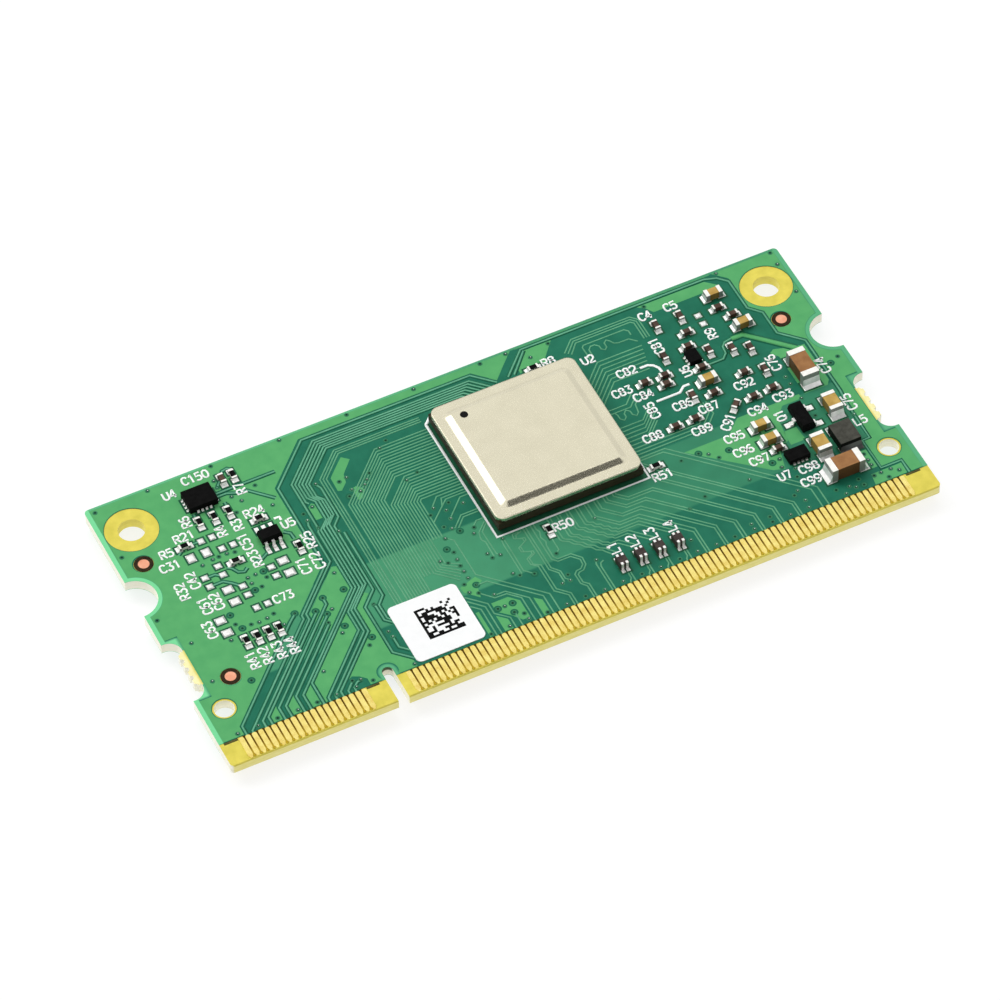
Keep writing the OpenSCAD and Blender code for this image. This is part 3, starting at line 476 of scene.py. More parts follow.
def endTree(tree, given, geometry):
    realize = addNode(tree, "GeometryNodeRealizeInstances")
    dress = addNode(tree, "GeometryNodeSetMaterial")
    target = addNode(tree, "NodeGroupOutput")
    tree.links.new(geometry, realize.inputs["Geometry"])
    tree.links.new(realize.outputs["Geometry"], dress.inputs["Geometry"])
    tree.links.new(given["Material"], dress.inputs["Material"])
    tree.links.new(dress.outputs["Geometry"], target.inputs["Geometry"])
    return tree


def ribbonTree():
    tree, given, link = startTree("flatRibbon", [("Width", "Float"), ("Thickness", "Float")])
    curve = addNode(tree, "GeometryNodeMeshToCurve")
    upright = addNode(tree, "GeometryNodeSetCurveNormal", mode="Z_UP")
    section = addNode(tree, "GeometryNodeCurvePrimitiveQuadrilateral")
    sweep = addNode(tree, "GeometryNodeCurveToMesh")
    sweep.inputs["Fill Caps"].default_value = True
    link(given["Geometry"], curve.inputs["Mesh"])
    link(curve.outputs["Curve"], upright.inputs["Curve"])
    link(given["Width"], section.inputs["Width"])
    link(given["Thickness"], section.inputs["Height"])
    link(upright.outputs["Curve"], sweep.inputs["Curve"])
    link(section.outputs["Curve"], sweep.inputs["Profile Curve"])
    return endTree(tree, given, sweep.outputs["Mesh"])


def stampTree():
    tree, given, link = startTree("stampOnPoints", [("Stamp", "Object")])
    stamp = addNode(tree, "GeometryNodeObjectInfo")
    spread = addNode(tree, "GeometryNodeInstanceOnPoints")
    link(given["Stamp"], stamp.inputs["Object"])
    link(given["Geometry"], spread.inputs["Points"])
    link(stamp.outputs["Geometry"], spread.inputs["Instance"])
    return endTree(tree, given, spread.outputs["Instances"])


def codeTree():   # small tiles on a grid: a full row and column, and a seeded share of the rest
    tree, given, link = startTree("codeSquares", [
        ("Module", "Float"), ("Share", "Float"), ("Seed", "Int"), ("Left", "Float"), ("Bottom", "Float")])
    x, y, _ = addSplit(tree, addNode(tree, "GeometryNodeInputPosition").outputs["Position"])
    offBoth = addNode(tree, "FunctionNodeBooleanMath", operation="AND")
    for socket, value, limit in zip(offBoth.inputs, (x, y), ("Left", "Bottom")):
        off = addNode(tree, "FunctionNodeCompare", operation="GREATER_THAN")
        link(value, off.inputs["A"])
        link(given[limit], off.inputs["B"])
        link(off.outputs["Result"], socket)
    chance = addNode(tree, "FunctionNodeRandomValue", data_type="BOOLEAN")
    link(given["Share"], chance.inputs["Probability"])
    link(given["Seed"], chance.inputs["Seed"])
    drop = addNode(tree, "FunctionNodeBooleanMath", operation="AND")
    link(offBoth.outputs["Boolean"], drop.inputs[0])
    link(chance.outputs[3], drop.inputs[1])   # the yes-or-no output
    thin = addNode(tree, "GeometryNodeDeleteGeometry")
    link(given["Geometry"], thin.inputs["Geometry"])
    link(drop.outputs["Boolean"], thin.inputs["Selection"])
    size = addNode(tree, "ShaderNodeCombineXYZ")
    link(given["Module"], size.inputs["X"])
    link(given["Module"], size.inputs["Y"])
    size.inputs["Z"].default_value = tileThickness * mm
    cube = addNode(tree, "GeometryNodeMeshCube")
    link(size.outputs["Vector"], cube.inputs["Size"])
    spread = addNode(tree, "GeometryNodeInstanceOnPoints")
    link(thin.outputs["Geometry"], spread.inputs["Points"])
    link(cube.outputs["Mesh"], spread.inputs["Instance"])
    return endTree(tree, given, spread.outputs["Instances"])


trees = {"ribbon": ribbonTree(), "stamp": stampTree(), "code": codeTree()}


# helpers that make the pieces

def linkData(name, data):
    piece = bpy.data.objects.new(name, data)
    bpy.context.scene.collection.objects.link(piece)
    return piece


def newMesh(name, points, edges=(), faces=()):
    mesh = bpy.data.meshes.new(name)
    mesh.from_pydata(points, edges, faces)
    return mesh


def bakeMesh(piece):
    seen = bpy.context.evaluated_depsgraph_get()
    return bpy.data.meshes.new_from_object(piece.evaluated_get(seen), depsgraph=seen)


def growPiece(name, mesh, tree, values):
    piece = linkData(name, mesh)
    grower = piece.modifiers.new("grower", "NODES")
    grower.node_group = tree
    for socket in tree.interface.items_tree:
        if socket.in_out == "INPUT" and socket.name in values:
            grower[socket.identifier] = values[socket.name]
    grown = bakeMesh(piece)
    piece.modifiers.clear()
    piece.data = grown
    return piece


def seat(piece):
    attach(piece, "root")


def buildPiece(name, build, look):   # turns a bmesh into a piece
    mesh = bpy.data.meshes.new(name)
    build.to_mesh(mesh)
    build.free()
    mesh.materials.append(looks[look])
    seat(linkData(name, mesh))


stagger = {"levels": 7, "step": .0003}   # in mm, so crossing ribbons never share a face


def ribbonPiece(name, paths, width, top, thickness, look):
    points, edges = [], []
    for order, path in enumerate(paths):
        first = len(points)
        level = top - thickness / 2 - order % stagger["levels"] * stagger["step"]
        points += [(x * mm, y * mm, level * mm) for x, y in path]
        edges += [(first + i, first + i + 1) for i in range(len(path) - 1)]
    values = {"Width": width * mm, "Thickness": thickness * mm, "Material": looks[look]}
    seat(growPiece(name, newMesh(name, points, edges), trees["ribbon"], values))


def latheMesh(name, profile, sides):
    points, faces, rings = [], [], []
    for radius, height in profile:
        if radius == 0:
            rings.append([len(points)] * sides)
            points.append((0, 0, height * mm))
            continue
        rings.append(list(range(len(points), len(points) + sides)))
        for k in range(sides):
            turn = 2 * math.pi * k / sides
            points.append((radius * math.cos(turn) * mm, radius * math.sin(turn) * mm, height * mm))
    if profile[0][0] > 0:
        rings.append(rings[0])   # a ring shape closes on itself
    for low, high in zip(rings, rings[1:]):
        for k in range(sides):
            after = (k + 1) % sides
            corners = (low[k], high[k], high[after], low[after])
            faces.append(tuple(dict.fromkeys(corners)))
    return newMesh(name, points, [], faces)


def stampPiece(name, profile, sides, places, look):   # the same turned shape at each place
    stamp = linkData(name + "Stamp", latheMesh(name, profile, sides))
    points = newMesh(name, [(x * mm, y * mm, 0) for x, y in places])
    piece = growPiece(name, points, trees["stamp"], {"Stamp": stamp, "Material": looks[look]})
    bpy.data.objects.remove(stamp)
    seat(piece)


def disc(radius, bottom, top):
    return [(0, top), (radius, top), (radius, bottom), (0, bottom)]


def arc(centreX, centreY, radius, start, end, steps):
    turns = [math.radians(start + (end - start) * k / steps) for k in range(steps + 1)]
    return [(centreX + radius * math.cos(t), centreY + radius * math.sin(t)) for t in turns]


def circle(centreX, centreY, radius, steps=48):
    return arc(centreX, centreY, radius, 0, 360, steps)[:-1]


plateWeld = 1e-7   # metres


def platePiece(name, outlines, bottom, top, look):
    curve = bpy.data.curves.new(name, "CURVE")
    curve.dimensions = "2D"
    curve.fill_mode = "BOTH"
    curve.extrude = (top - bottom) / 2 * mm
    for outline in outlines:
        spline = curve.splines.new("POLY")
        spline.points.add(len(outline) - 1)
        for point, (x, y) in zip(spline.points, outline):
            point.co = (x * mm, y * mm, 0, 1)
        spline.use_cyclic_u = True
    flat = linkData(name + "Outline", curve)
    mesh = bakeMesh(flat)
    bpy.data.objects.remove(flat)
    mesh.transform(Matrix.Translation((0, 0, (top + bottom) / 2 * mm)))
    welded = bmesh.new()
    welded.from_mesh(mesh)
    bmesh.ops.remove_doubles(welded, verts=welded.verts, dist=plateWeld)
    bmesh.ops.recalc_face_normals(welded, faces=welded.faces)
    welded.to_mesh(mesh)
    welded.free()
    mesh.materials.clear()
    mesh.materials.append(looks[look])
    mesh.polygons.foreach_set("use_smooth", [False] * len(mesh.polygons))
    seat(linkData(name, mesh))


# copper pours under the mask

rim = {   # where the pours stop at the card's sides, mm
    "edge": features["edge"],
    "front": -12.85,
    "back": 15.26,
    "latch": (*features["latch"], 2.45, 259, 101, 24),   # centre, radius, turn from and to, steps
    "notch": (features["notch"], -7.95, -.7),   # |x|, low y and high y
    "holes": [(*features["screw"], 2.45), (31.8, -9.6, 1.12)],   # screw and tooling hole: centre and radius
    "fiducial": .95,   # radius
}


def notchSide(side):
    edge = rim["edge"]
    notchX, notchLow, notchHigh = rim["notch"]
    path = [(edge, rim["front"]), (edge, notchLow), (notchX, notchLow), (notchX, notchHigh),
            (edge, notchHigh)]
    path += [point for point in arc(*rim["latch"]) if point[0] < edge] + [(edge, rim["back"])]
    return [(side * x, y) for x, y in path]


def holeRims(side):
    return [circle(side * x, y, radius) for x, y, radius in rim["holes"]]


pours = {
    "left": [notchSide(-1) + [
        (5, 15.26), (7.2, 15.26), (5.85, 13.9), (4.6, 12.6), (4.1, 13.35), (2.95, 14.5), (-13.78, 14.5),
        (-17.93, 10.35), (-17.93, .7), (-21.93, -3.3), (-21.85, -2.75), (-22.55, -2.75), (-22.6, -3.15),
        (-31.43, -11.98), (-31.43, -12.85), (-33.36, -12.85)],
        *holeRims(-1), circle(-29.9, -6.75, rim["fiducial"]), circle(-31.55, 7.85, rim["fiducial"])],
    "fanMiddle": [[(-23.88, -12.85), (-23.88, -10.55), (-18.22, -4.89), (-18.22, -7.05), (-23.6, -12.43),
                   (-23.6, -12.85)]],
    "slotSide": [[(-17.24, -4.85), (-15.95, -3.58), (-15.62, -3.85), (-16.69, -4.95), (-16.69, -10.65),
                  (-15.3, -12.05), (-15.3, -12.85)] + arc(*features["slot"], .97, -38, 218, 20) + [
                  (-19.65, -12.85), (-19.65, -12.15), (-20.15, -11.65), (-20.75, -11.35), (-21.25, -11.65),
                  (-17.24, -7.64)]],
    "stubIslandA": [[(-28.68, -12.85), (-28.68, -12.18), (-27.81, -11.31), (-27.81, -12.85)]],
    "stubIslandB": [[(-26.88, -12.85), (-26.88, -11.78), (-26.01, -10.91), (-26.01, -12.85)]],
    "stubIslandC": [[(-25.08, -12.85), (-25.08, -11.4), (-24.21, -10.55), (-24.21, -12.85)]],
    "busIsland": [[(-16.2, 5.5), (-15.6, 5.5), (-15.6, 7.2), (-15.8, 7.4), (-16.2, 7.1)]],
    "busWedge": [[(-21.05, -3.6), (-17.24, .22), (-16.8, .1), (-16.8, -2.55), (-20.35, -6.1), (-20.7, -5.6),
                  (-20.9, -4.8), (-21.1, -4.2)]],
    "right": [notchSide(1) + [
        (27.2, 15.26), (28.35, 14.1), (28.35, 10.35), (29.35, 9.25), (29.35, 6.55), (31.2, 4.65),
        (31.2, -2), (31, -4), (30.95, -8), (30.2, -8), (30.2, -11.2), (32.2, -11.2),
        (32.2, -12.85)],
        *holeRims(1), circle(30.25, 7.75, rim["fiducial"])],
    "backStrip": [[(7.6, 15.26), (27, 15.26), (26.9, 15.2), (7.7, 15.2)]],
    "backIsland": [[(6.9, 12.9), (8.35, 14.75), (11, 14.75), (9.7, 13.2), (9.5, 12.5), (6.9, 12.5)]],
    "topBand": [[(19.5, 14.75), (26.2, 14.72), (27.2, 13.8), (26.9, 13.6), (20.6, 13.55), (20.2, 14.2)]],
    "powerField": [[(15.6, -2.12), (20, -2.12), (21.5, -.72), (27.6, -.72), (27.7, -1.25),
                    (25.7, -1.25), (24.7, -2.3), (24.3, -5), (23.2, -5.6), (22.6, -7.7), (21.6, -7.4)]],
    "powerIsland": [[(24.4, -3.95), (25.65, -3.95), (25.75, -5.55), (24.3, -5.55)]],
    "cornerField": [[(28.95, -11.65), (31.9, -11.65), (31.9, -12.85), (28.75, -12.85)]],
    "cornerStrip": [[(29.15, -8.95), (29.85, -8.95), (29.85, -11.1), (29.15, -11.1)]],
    "bulkField": [[(28.1, -.9), (30.4, -.9), (30.75, -.4), (30.75, 4.2), (29.9, 4.3), (28, 4.9),
                   (27.55, 4.6), (28.1, 3.9)]],
    "codeIsland": [[(-8.4, -9.95), (-8.1, -9.95), (-8.1, -12.85), (-8.4, -12.85)]],
    "fanIslandA": [[(-6.75, -9.6), (-5.15, -9.6), (-4.4, -10.4), (-4.4, -12.4), (-5.1, -12.4),
                    (-5.7, -11.6), (-6.75, -10.6)]],
    "fanIslandB": [[(-6.98, -11), (-6.2, -11.75), (-6.2, -12.85), (-6.98, -12.85)]],
    "fanIslandC": [[(-3.25, -10.65), (-2.65, -11.2), (-2.65, -12.85), (-3.25, -12.85)]],
    "fanIslandD": [[(-7.5, -6.6), (-6.7, -6.35), (-6.35, -6.95), (-7, -7.5), (-7.25, -8.6),
                    (-8.3, -7.5), (-8.4, -6.9)]],
    "upperIslandA": [[(-13.15, 7.6), (-13.1, 9.2), (-12, 10.3), (-11.3, 10.95), (-10.7, 10.4),
                    (-11.9, 9.1), (-12.1, 8.2), (-12.8, 7.5)]],
    "upperIslandB": [[(-11.95, 5.9), (-11.95, 7.3), (-11.5, 7.4), (-11.1, 7), (-11, 6.6), (-11.6, 5.9)]],
}
# painted shadow: a dark plate on the mask round and under the processor's package
packageField = [[(-3, 10.8), (-3, -3.2), (11.55, -3.2), (11.55, 11.4), (-2.4, 11.4)]]   # under the processor
platePiece("packageField", packageField, layers["inside"], layers["pour"] - layerStep, "shadeBorder")
for name, outlines in pours.items():
    platePiece("pour_" + name, outlines, layers["inside"], layers["pour"], "pour")
print("pours made,", len(pours))


# traces: each run is one trace's points, or a count and points with the step in x and y to the next trace

fanRuns = [   # the fan from the short contact row, the bus beside the lid and their ends
    [(-31.245, -13), (-31.245, -12), (-23, -3.75), (-22.2, -3.05)],
    [(-30.645, -13), (-30.645, -12.8), (-21.75, -3.9), (-21.75, -3.49), (-17.67, .59), (-17.67, 10.2),
     (-13.59, 14.28), (2.8, 14.28), (4.6, 12.5)],
    [(-29.445, -13), (-29.445, -12.275), (-21.35, -4.18), (-21.35, -3.49), (-17.06, .8), (-17.06, 5.2),
     (-16.9, 5.8)],
    [(-28.845, -13), (-28.845, -12.1), (-20.5, -3.75)],
    [(-27.645, -13), (-27.645, -11.6), (-19.35, -3.3), (-19.35, -2.6)],
    [(-27.045, -13), (-27.045, -11.7), (-19.75, -4.4)],
    [(-25.845, -13), (-25.845, -11.15), (-20.05, -5.35)],
    [(-25.245, -13), (-25.245, -11.3), (-16.62, -2.68), (-16.62, 4.2), (-16.44, 4.5), (-16.44, 10.06),
     (-12.75, 13.75), (2.45, 13.75), (4, 12.2)],
    [(-16, 7.45), (-16.17, 7.7), (-16.17, 9.93), (-12.61, 13.49), (2.2, 13.49), (3.5, 12.2)],
    [(-24.045, -13), (-24.045, -10.47), (-16.32, -2.74), (-16.32, 4.3), (-15.39, 5.2), (-15.39, 7.45),
     (-15.9, 8.1), (-15.9, 9.78), (-12.47, 13.23), (1.95, 13.23), (3, 12.2)],
    [(-23.445, -13), (-23.445, -12.5), (-18.06, -7.12), (-18.06, -4.9), (-16.02, -2.86), (-16.02, 4.4),
     (-15.09, 5.3), (-15.09, 7.4), (-15.6, 8.1), (-15.6, 9.7), (-12.33, 12.97), (1.7, 12.97), (2.5, 12.2)],
    [(-22.845, -13), (-22.845, -12.55), (-17.73, -7.43), (-17.73, -4.85), (-15.69, -2.84), (-15.69, 4.5),
     (-14.82, 5.35), (-14.82, 7.35), (-15.33, 8), (-15.33, 9.54), (-12.15, 12.72), (1.4, 12.72),
     (1.95, 12.2)],
    [(-22.245, -13), (-22.245, -12.4), (-17.4, -7.58), (-17.4, -4.8), (-15.39, -2.79), (-15.39, 4.6),
     (-14.58, 5.4), (-14.58, 7.3), (-15.06, 7.9), (-15.06, 9.44), (-12.03, 12.47), (1.1, 12.47),
     (1.4, 12.2)],
    [(-15.1, -12), (-16.53, -10.57), (-16.53, -5.1), (-15.08, -3.65), (-15.08, 4.2), (-14.31, 5),
     (-14.31, 8.6), (-14.55, 9.1)],
    [(-15.75, -5.15), (-15.66, -5.5), (-15.66, -7.1), (-15.1, -7.65)],
    [(-14.62, 3.2), (-14.62, -4.6), (-15.36, -5.4), (-15.36, -7), (-15.1, -7.3)],
    [(-15.8, -9.05), (-15.8, -10.3), (-15.1, -11)],
    [(-21.645, -13), (-21.645, -12.6), (-20.9, -11.85)],
    [(-21.045, -13), (-21.045, -12.5), (-20.55, -12.1), (-20.2, -12.05)],
    [(-22.7, 12.1), (-17.1, 12.1)],
    [(-22.9, 11.75), (-21.9, 11.75), (-20.9, 11.3), (-20.2, 11.3), (-18.3, 9.35)],
    [(-22.4, 12.6), (-21.8, 13.3), (-21.2, 14.2), (-20.7, 14.3), (-20.4, 14)],
    [(-27.3, 3.95), (-26.5, 3.95), (-26.1, 3.6), (-25.9, 3.55)],
    [(-27.3, 2.95), (-26.2, 2.95), (-25.6, 2.45), (-25.1, 1.9)],
    [(-25.3, 4.2), (-24.9, 3.9), (-24.6, 3.3), (-24.1, 3.1), (-23.7, 3.4)],
    [(-22.9, 3.7), (-22.2, 3.7), (-21.5, 4.1)],
    [(-19.3, 5.6), (-18.8, 5.2), (-18.75, 4.5)],
    [(-28.4, 7.3), (-27.6, 7.9), (-26, 7.9)],
    [(-25.4, 10.9), (-25.4, 10.3)],
    [(-22.45, 10.9), (-22.45, 10.3)],
]
bareRuns = [   # these lie on the bare laminate under the mask
    (3, [(-14.01, -6.3, .27, 0), (-14.01, 9.45, .27, -.09), (-11.52, 11.94, .1, -.25),
         (-3.3, 11.94, 0, -.25)]),
    (9, [(-3.2, 10.44, 0, -.33), (-8.3, 10.44, .024, -.33), (-12.96, 5.78, .27, -.084),
         (-12.96, -6.3, .27, 0)]),
    (3, [(-3.2, 7.47, 0, -.33), (-8.08, 7.47, .024, -.33), (-10.53, 5.02, .27, -.084),
         (-10.53, -4.4, .27, 0)]),
    (6, [(-3.2, 6.48, 0, -.33), (-7.3, 6.48, .024, -.33), (-9.7, 4.08, .27, -.084), (-9.7, -4.4, .27, .12),
         (-8, -6.1, .18, .3)]),
    (4, [(-3.2, 4.5, 0, -.33), (-7.16, 4.5, .024, -.33), (-8.08, 3.58, .27, -.084), (-8.08, -1.1, .27, 0)]),
    (2, [(-3.2, 3.17, 0, -.33), (-5.8, 3.17, .3, -.33), (-6.6, 2.3, .8, -.3)]),
    [(-3.2, 2.55), (-5.2, 2.55), (-7.3, .6)],
    [(-3.2, 2.2), (-4, 2.2), (-5.75, .45)],
    (2, [(-3.2, .35, 0, -.28), (-4.8, .35, .1, -.28), (-5.9, -.75, .3, -.1)]),
    [(-3.2, -.8), (-3.9, -.8), (-4.4, -1.3)],
    [(-3.3, -1.2), (-4.25, -2.1), (-4.4, -2.7), (-4.4, -3), (-4.2, -3.3), (-4.25, -5.1)],
    [(-3.3, -1.5), (-3.95, -2.15), (-3.95, -4.9), (-3.7, -5.15)],
    [(-2.85, -3.4), (-2.95, -4.3), (-2.95, -7.8), (-3.2, -7.95)],
    [(-2.65, -3.5), (-2.7, -7.6), (-2.1, -8.25)],
    [(-7.05, -1.4), (-6.55, -1.9), (-6.55, -6.15), (-1.8, -10.9), (-1.8, -13)],
    [(-7, -7.2), (-6.6, -7.25), (-6, -7.25), (-2.4, -10.85), (-2.4, -13)],
    [(-6.1, -8.85), (-5.9, -8.95), (-5.1, -8.95), (-3.55, -10.5), (-3.55, -13)],
    [(-7.2, -8.1), (-6.2, -9.2), (-5.1, -9.25), (-4.15, -10.2), (-4.15, -13)],
    [(-8.5, -8), (-7, -9.5), (-7, -10.7), (-5.95, -11.7), (-5.95, -13)],
    [(-8.5, -8.5), (-7.35, -9.7), (-7.35, -13)],
    [(-8.5, -9.1), (-7.8, -9.8), (-7.8, -13)],
    [(-5.35, -11.4), (-5.35, -13)],
    (2, [(-1.2, -3.6, .25, 0), (-1.8, -3.6, .25, -.2), (-1.9, -4.1, .2, -.1), (-1.2, -4.4, .2, 0),
         (-1.2, -4.8, .2, .1), (-1.95, -5.2, .2, .1), (-1.95, -5.7, .2, -.1), (-1.2, -6, .2, -.05),
         (-1.2, -6.3, .2, -.05), (-1.85, -6.6, .2, -.05), (-1.85, -7.3, .2, -.05), (-1.35, -7.75, .28, 0),
         (-1.35, -10.8, .28, .12), (-.4, -11.75, .27, .1), (-.4, -13, .27, 0)]),
    [(-.7, -3.4), (-.7, -8.5), (-.1, -9.2), (-.1, -10.3)],
    [(-.45, -3.4), (-.45, -8.4), (.12, -9.1), (.12, -10), (.35, -10.25)],
    [(0, -3.4), (0, -7.6), (.4, -8.05), (1.6, -8.05), (2.2, -8.7), (2.15, -9.3), (1.8, -9.65), (1.35, -9.7),
     (1.05, -10), (1.05, -11.1), (1.45, -11.6), (1.45, -13)],
    [(.3, -3.4), (.3, -4), (.45, -4.4), (.25, -5), (.45, -5.6), (.3, -6), (.25, -7.4), (.5, -7.8),
     (1.75, -7.8), (2.45, -8.6), (2.4, -9.4), (1.95, -9.9), (1.5, -9.95), (1.3, -10.15), (1.3, -11.05),
     (1.7, -11.45), (1.7, -13)],
    [(1.05, -5.6), (1.05, -6.9), (.7, -7.15)],
    (2, [(5.2, -3.4, .3, 0), (5.2, -5.1, .3, .1), (6.95, -6.85, .1, .3), (8.73, -6.85, .26, .3),
         (12.27, -10.39, .27, .29), (12.27, -13, .27, 0)]),
    (2, [(6.1, -3.4, .3, 0), (6.1, -4.6, .3, .1), (7.6, -6.1, .1, .3), (9.35, -6.1, .15, .3),
         (14.07, -10.82, .27, .18), (14.07, -13, .27, 0)]),
    (2, [(7, -3.4, .3, 0), (7, -4.05, .3, .1), (8.35, -5.4, .1, .3), (10.2, -5.4, .1, .3),
         (15.84, -11.04, .3, .1), (15.84, -13, .3, 0)]),
    (2, [(7.9, -3.4, .3, 0), (7.9, -3.75, .3, .15), (8.85, -4.7, .15, .3), (11.23, -4.7, .12, .3),
         (17.67, -11.14, .27, .15), (17.67, -13, .27, 0)]),
    [(11.7, -3.43), (19.47, -11.2), (19.47, -13)],
    [(12, -3.31), (19.74, -11.05), (19.74, -13)],
    [(11.7, -1.95), (11.74, -1.95), (21.27, -11.48), (21.27, -13)],
    [(11.7, -1.6), (11.78, -1.6), (21.54, -11.36), (21.54, -13)],
    [(11.75, -.95), (14.3, -.95), (24.12, -10.77), (24.12, -13)],
    [(11.75, -1.25), (14, -1.25), (23.52, -10.77), (23.52, -13)],
    (4, [(5.2, -11.9, 1.8, 0), (5.2, -12.5, 1.8, 0), (4.98, -12.8, 1.8, 0), (4.98, -13, 1.8, 0)]),
    (4, [(5.43, -11.9, 1.8, 0), (5.43, -13, 1.8, 0)]),
    [(3.35, -9.4), (3.2, -9.8), (3.2, -13)],
    [(3.95, -9.7), (3.6, -9.85), (3.47, -10.2), (3.47, -13)],
    (3, [(11.7, .2, 0, -.38), (18.3, .2, .2, -.38), (19.4, 1.3, .27, -.3), (19.4, 2.2, .27, 0)]),
    (6, [(11.7, .62, 0, .44), (13.6, .62, .1, .44), (15.2, 2.22, .1, .44)]),
    (7, [(11.7, 5.75, 0, .5), (13.8, 7.85, -.05, .45), (17.3, 7.85, .1, .45)]),
    (3, [(11.4, 12.8, .25, -.2), (12.6, 14, .1, -.28), (18.4, 14, -.1, -.28), (19, 13.4, -.27, -.1),
         (19, 11.2, -.27, 0)]),
    [(13.1, 11), (13.1, 12.7), (13.3, 12.9), (17.3, 12.9), (17.6, 12.6), (17.6, 12.1)],
    [(13.5, 11.3), (13.5, 12.2), (13.8, 12.5), (14.2, 12.5), (14.5, 12.2), (14.5, 11.8), (14.8, 11.55),
     (15.05, 11.8), (15.05, 12.3), (15.35, 12.55), (15.6, 12.3), (15.8, 11.9), (16.2, 11.75), (17.2, 11.75),
     (17.8, 11.15)],
    [(11.8, 4.6), (12.2, 4.6), (12.35, 4.3), (12.35, 3.8), (12.65, 3.5), (12.95, 3.8), (12.95, 4.2),
     (13.25, 4.5), (13.55, 4.2), (13.55, 3.8), (13.85, 3.5), (14.15, 3.8), (14.3, 4.7), (14.8, 5.2)],
    (2, [(11.7, 5.06, 0, -.45), (13.6, 5.06, .2, -.45), (14.5, 5.96, .2, -.45)]),
]
chokeRuns = [   # pairs to the chokes, rippled on their slanted part
    (2, [(1.6, -3.4, .3, 0), (1.6, -6, .3, .1), (4.5, -8.9, .35, .05), (4.95, -9.5, .4, .1)]),
    (2, [(2.5, -3.4, .3, 0), (2.5, -5.9, .3, .1), (5.2, -8.6, .1, .3), (5.9, -8.6, .2, .3),
         (6.75, -9.45, .4, .1)]),
    (2, [(3.4, -3.4, .3, 0), (3.4, -5.5, .3, .1), (5.9, -8, .1, .3), (7.1, -8, .2, .3),
         (8.55, -9.45, .4, .1)]),
    (2, [(4.3, -3.4, .3, 0), (4.3, -5.35, .3, .15), (6.45, -7.5, .15, .3), (8.4, -7.5, .2, .3),
         (10.35, -9.45, .4, .1)]),
]
ripple = {"segment": 1, "swing": .07, "count": 8}
edgeRuns = [   # these run between two pours on the right
    [(5.75, 12.6), (8.1, 14.97), (26.3, 14.97), (27.4, 14.6), (28.2, 13.8), (28.2, 10.25), (29.2, 9.15),
     (29.2, 6.45), (31.05, 4.55), (31.05, -2), (30.85, -3.6), (30.8, -7.9), (30.05, -7.9), (30.05, -11.4),
     (32.05, -11.4), (32.05, -12.9)],
    [(6.35, 12.6), (6.9, 13.2), (8.3, 14.75)],
    [(22.2, 5.9), (23.6, 5.9), (24.1, 6.4), (24.2, 7.2), (24.6, 7.6), (25.3, 7.7)],
]
wideRuns = [[(25.3, 7.65), (26.4, 7.65), (29.9, 4.15)]]
traceSizes = {"width": .16, "fine": .13, "clearance": .44, "wide": .46, "wideClearance": .8,
              "thickness": .012, "gapThickness": .01}


def layOut(runs):
    paths = []
    for run in runs:
        count, points = run if isinstance(run, tuple) else (1, run)
        for k in range(count):
            paths.append([(p[0] + k * p[2], p[1] + k * p[3]) if len(p) == 4 else p for p in points])
    return paths


def addRipple(path, settings):
    at = settings["segment"]
    start, end = (Vector(point) for point in path[at:at + 2])
    along = end - start
    side = Vector((-along.y, along.x)).normalized() * settings["swing"]
    bends = []
    for k in range(settings["count"]):
        share = (k + .5) / settings["count"]
        bends.append(tuple(start + share * along + (side if k % 2 else -side)))
    return path[:at + 1] + bends + path[at + 1:]


def layTraces(name, paths, size, level, thickness, look):
    ribbonPiece(name, paths, traceSizes[size], level, traceSizes[thickness], look)


fanPaths = layOut(fanRuns) + layOut(edgeRuns)
widePaths = layOut(wideRuns)
barePaths = layOut(bareRuns) + [addRipple(path, ripple) for path in layOut(chokeRuns)]
# the darker ribbon under each trace is partly its clearance, partly painted shade beside it
layTraces("traceClearance", fanPaths, "clearance", layers["gap"], "gapThickness", "gap")
layTraces("wideClearance", widePaths, "wideClearance", layers["gap"], "gapThickness", "gap")
layTraces("fanTraces", fanPaths, "width", layers["trace"], "thickness", "trace")
layTraces("wideTrace", widePaths, "wide", layers["trace"], "thickness", "pour")
layTraces("bareTraces", barePaths, "fine", layers["trace"], "thickness", "fineTrace")
print("traces laid,", len(fanPaths) + len(widePaths) + len(barePaths))


# vias

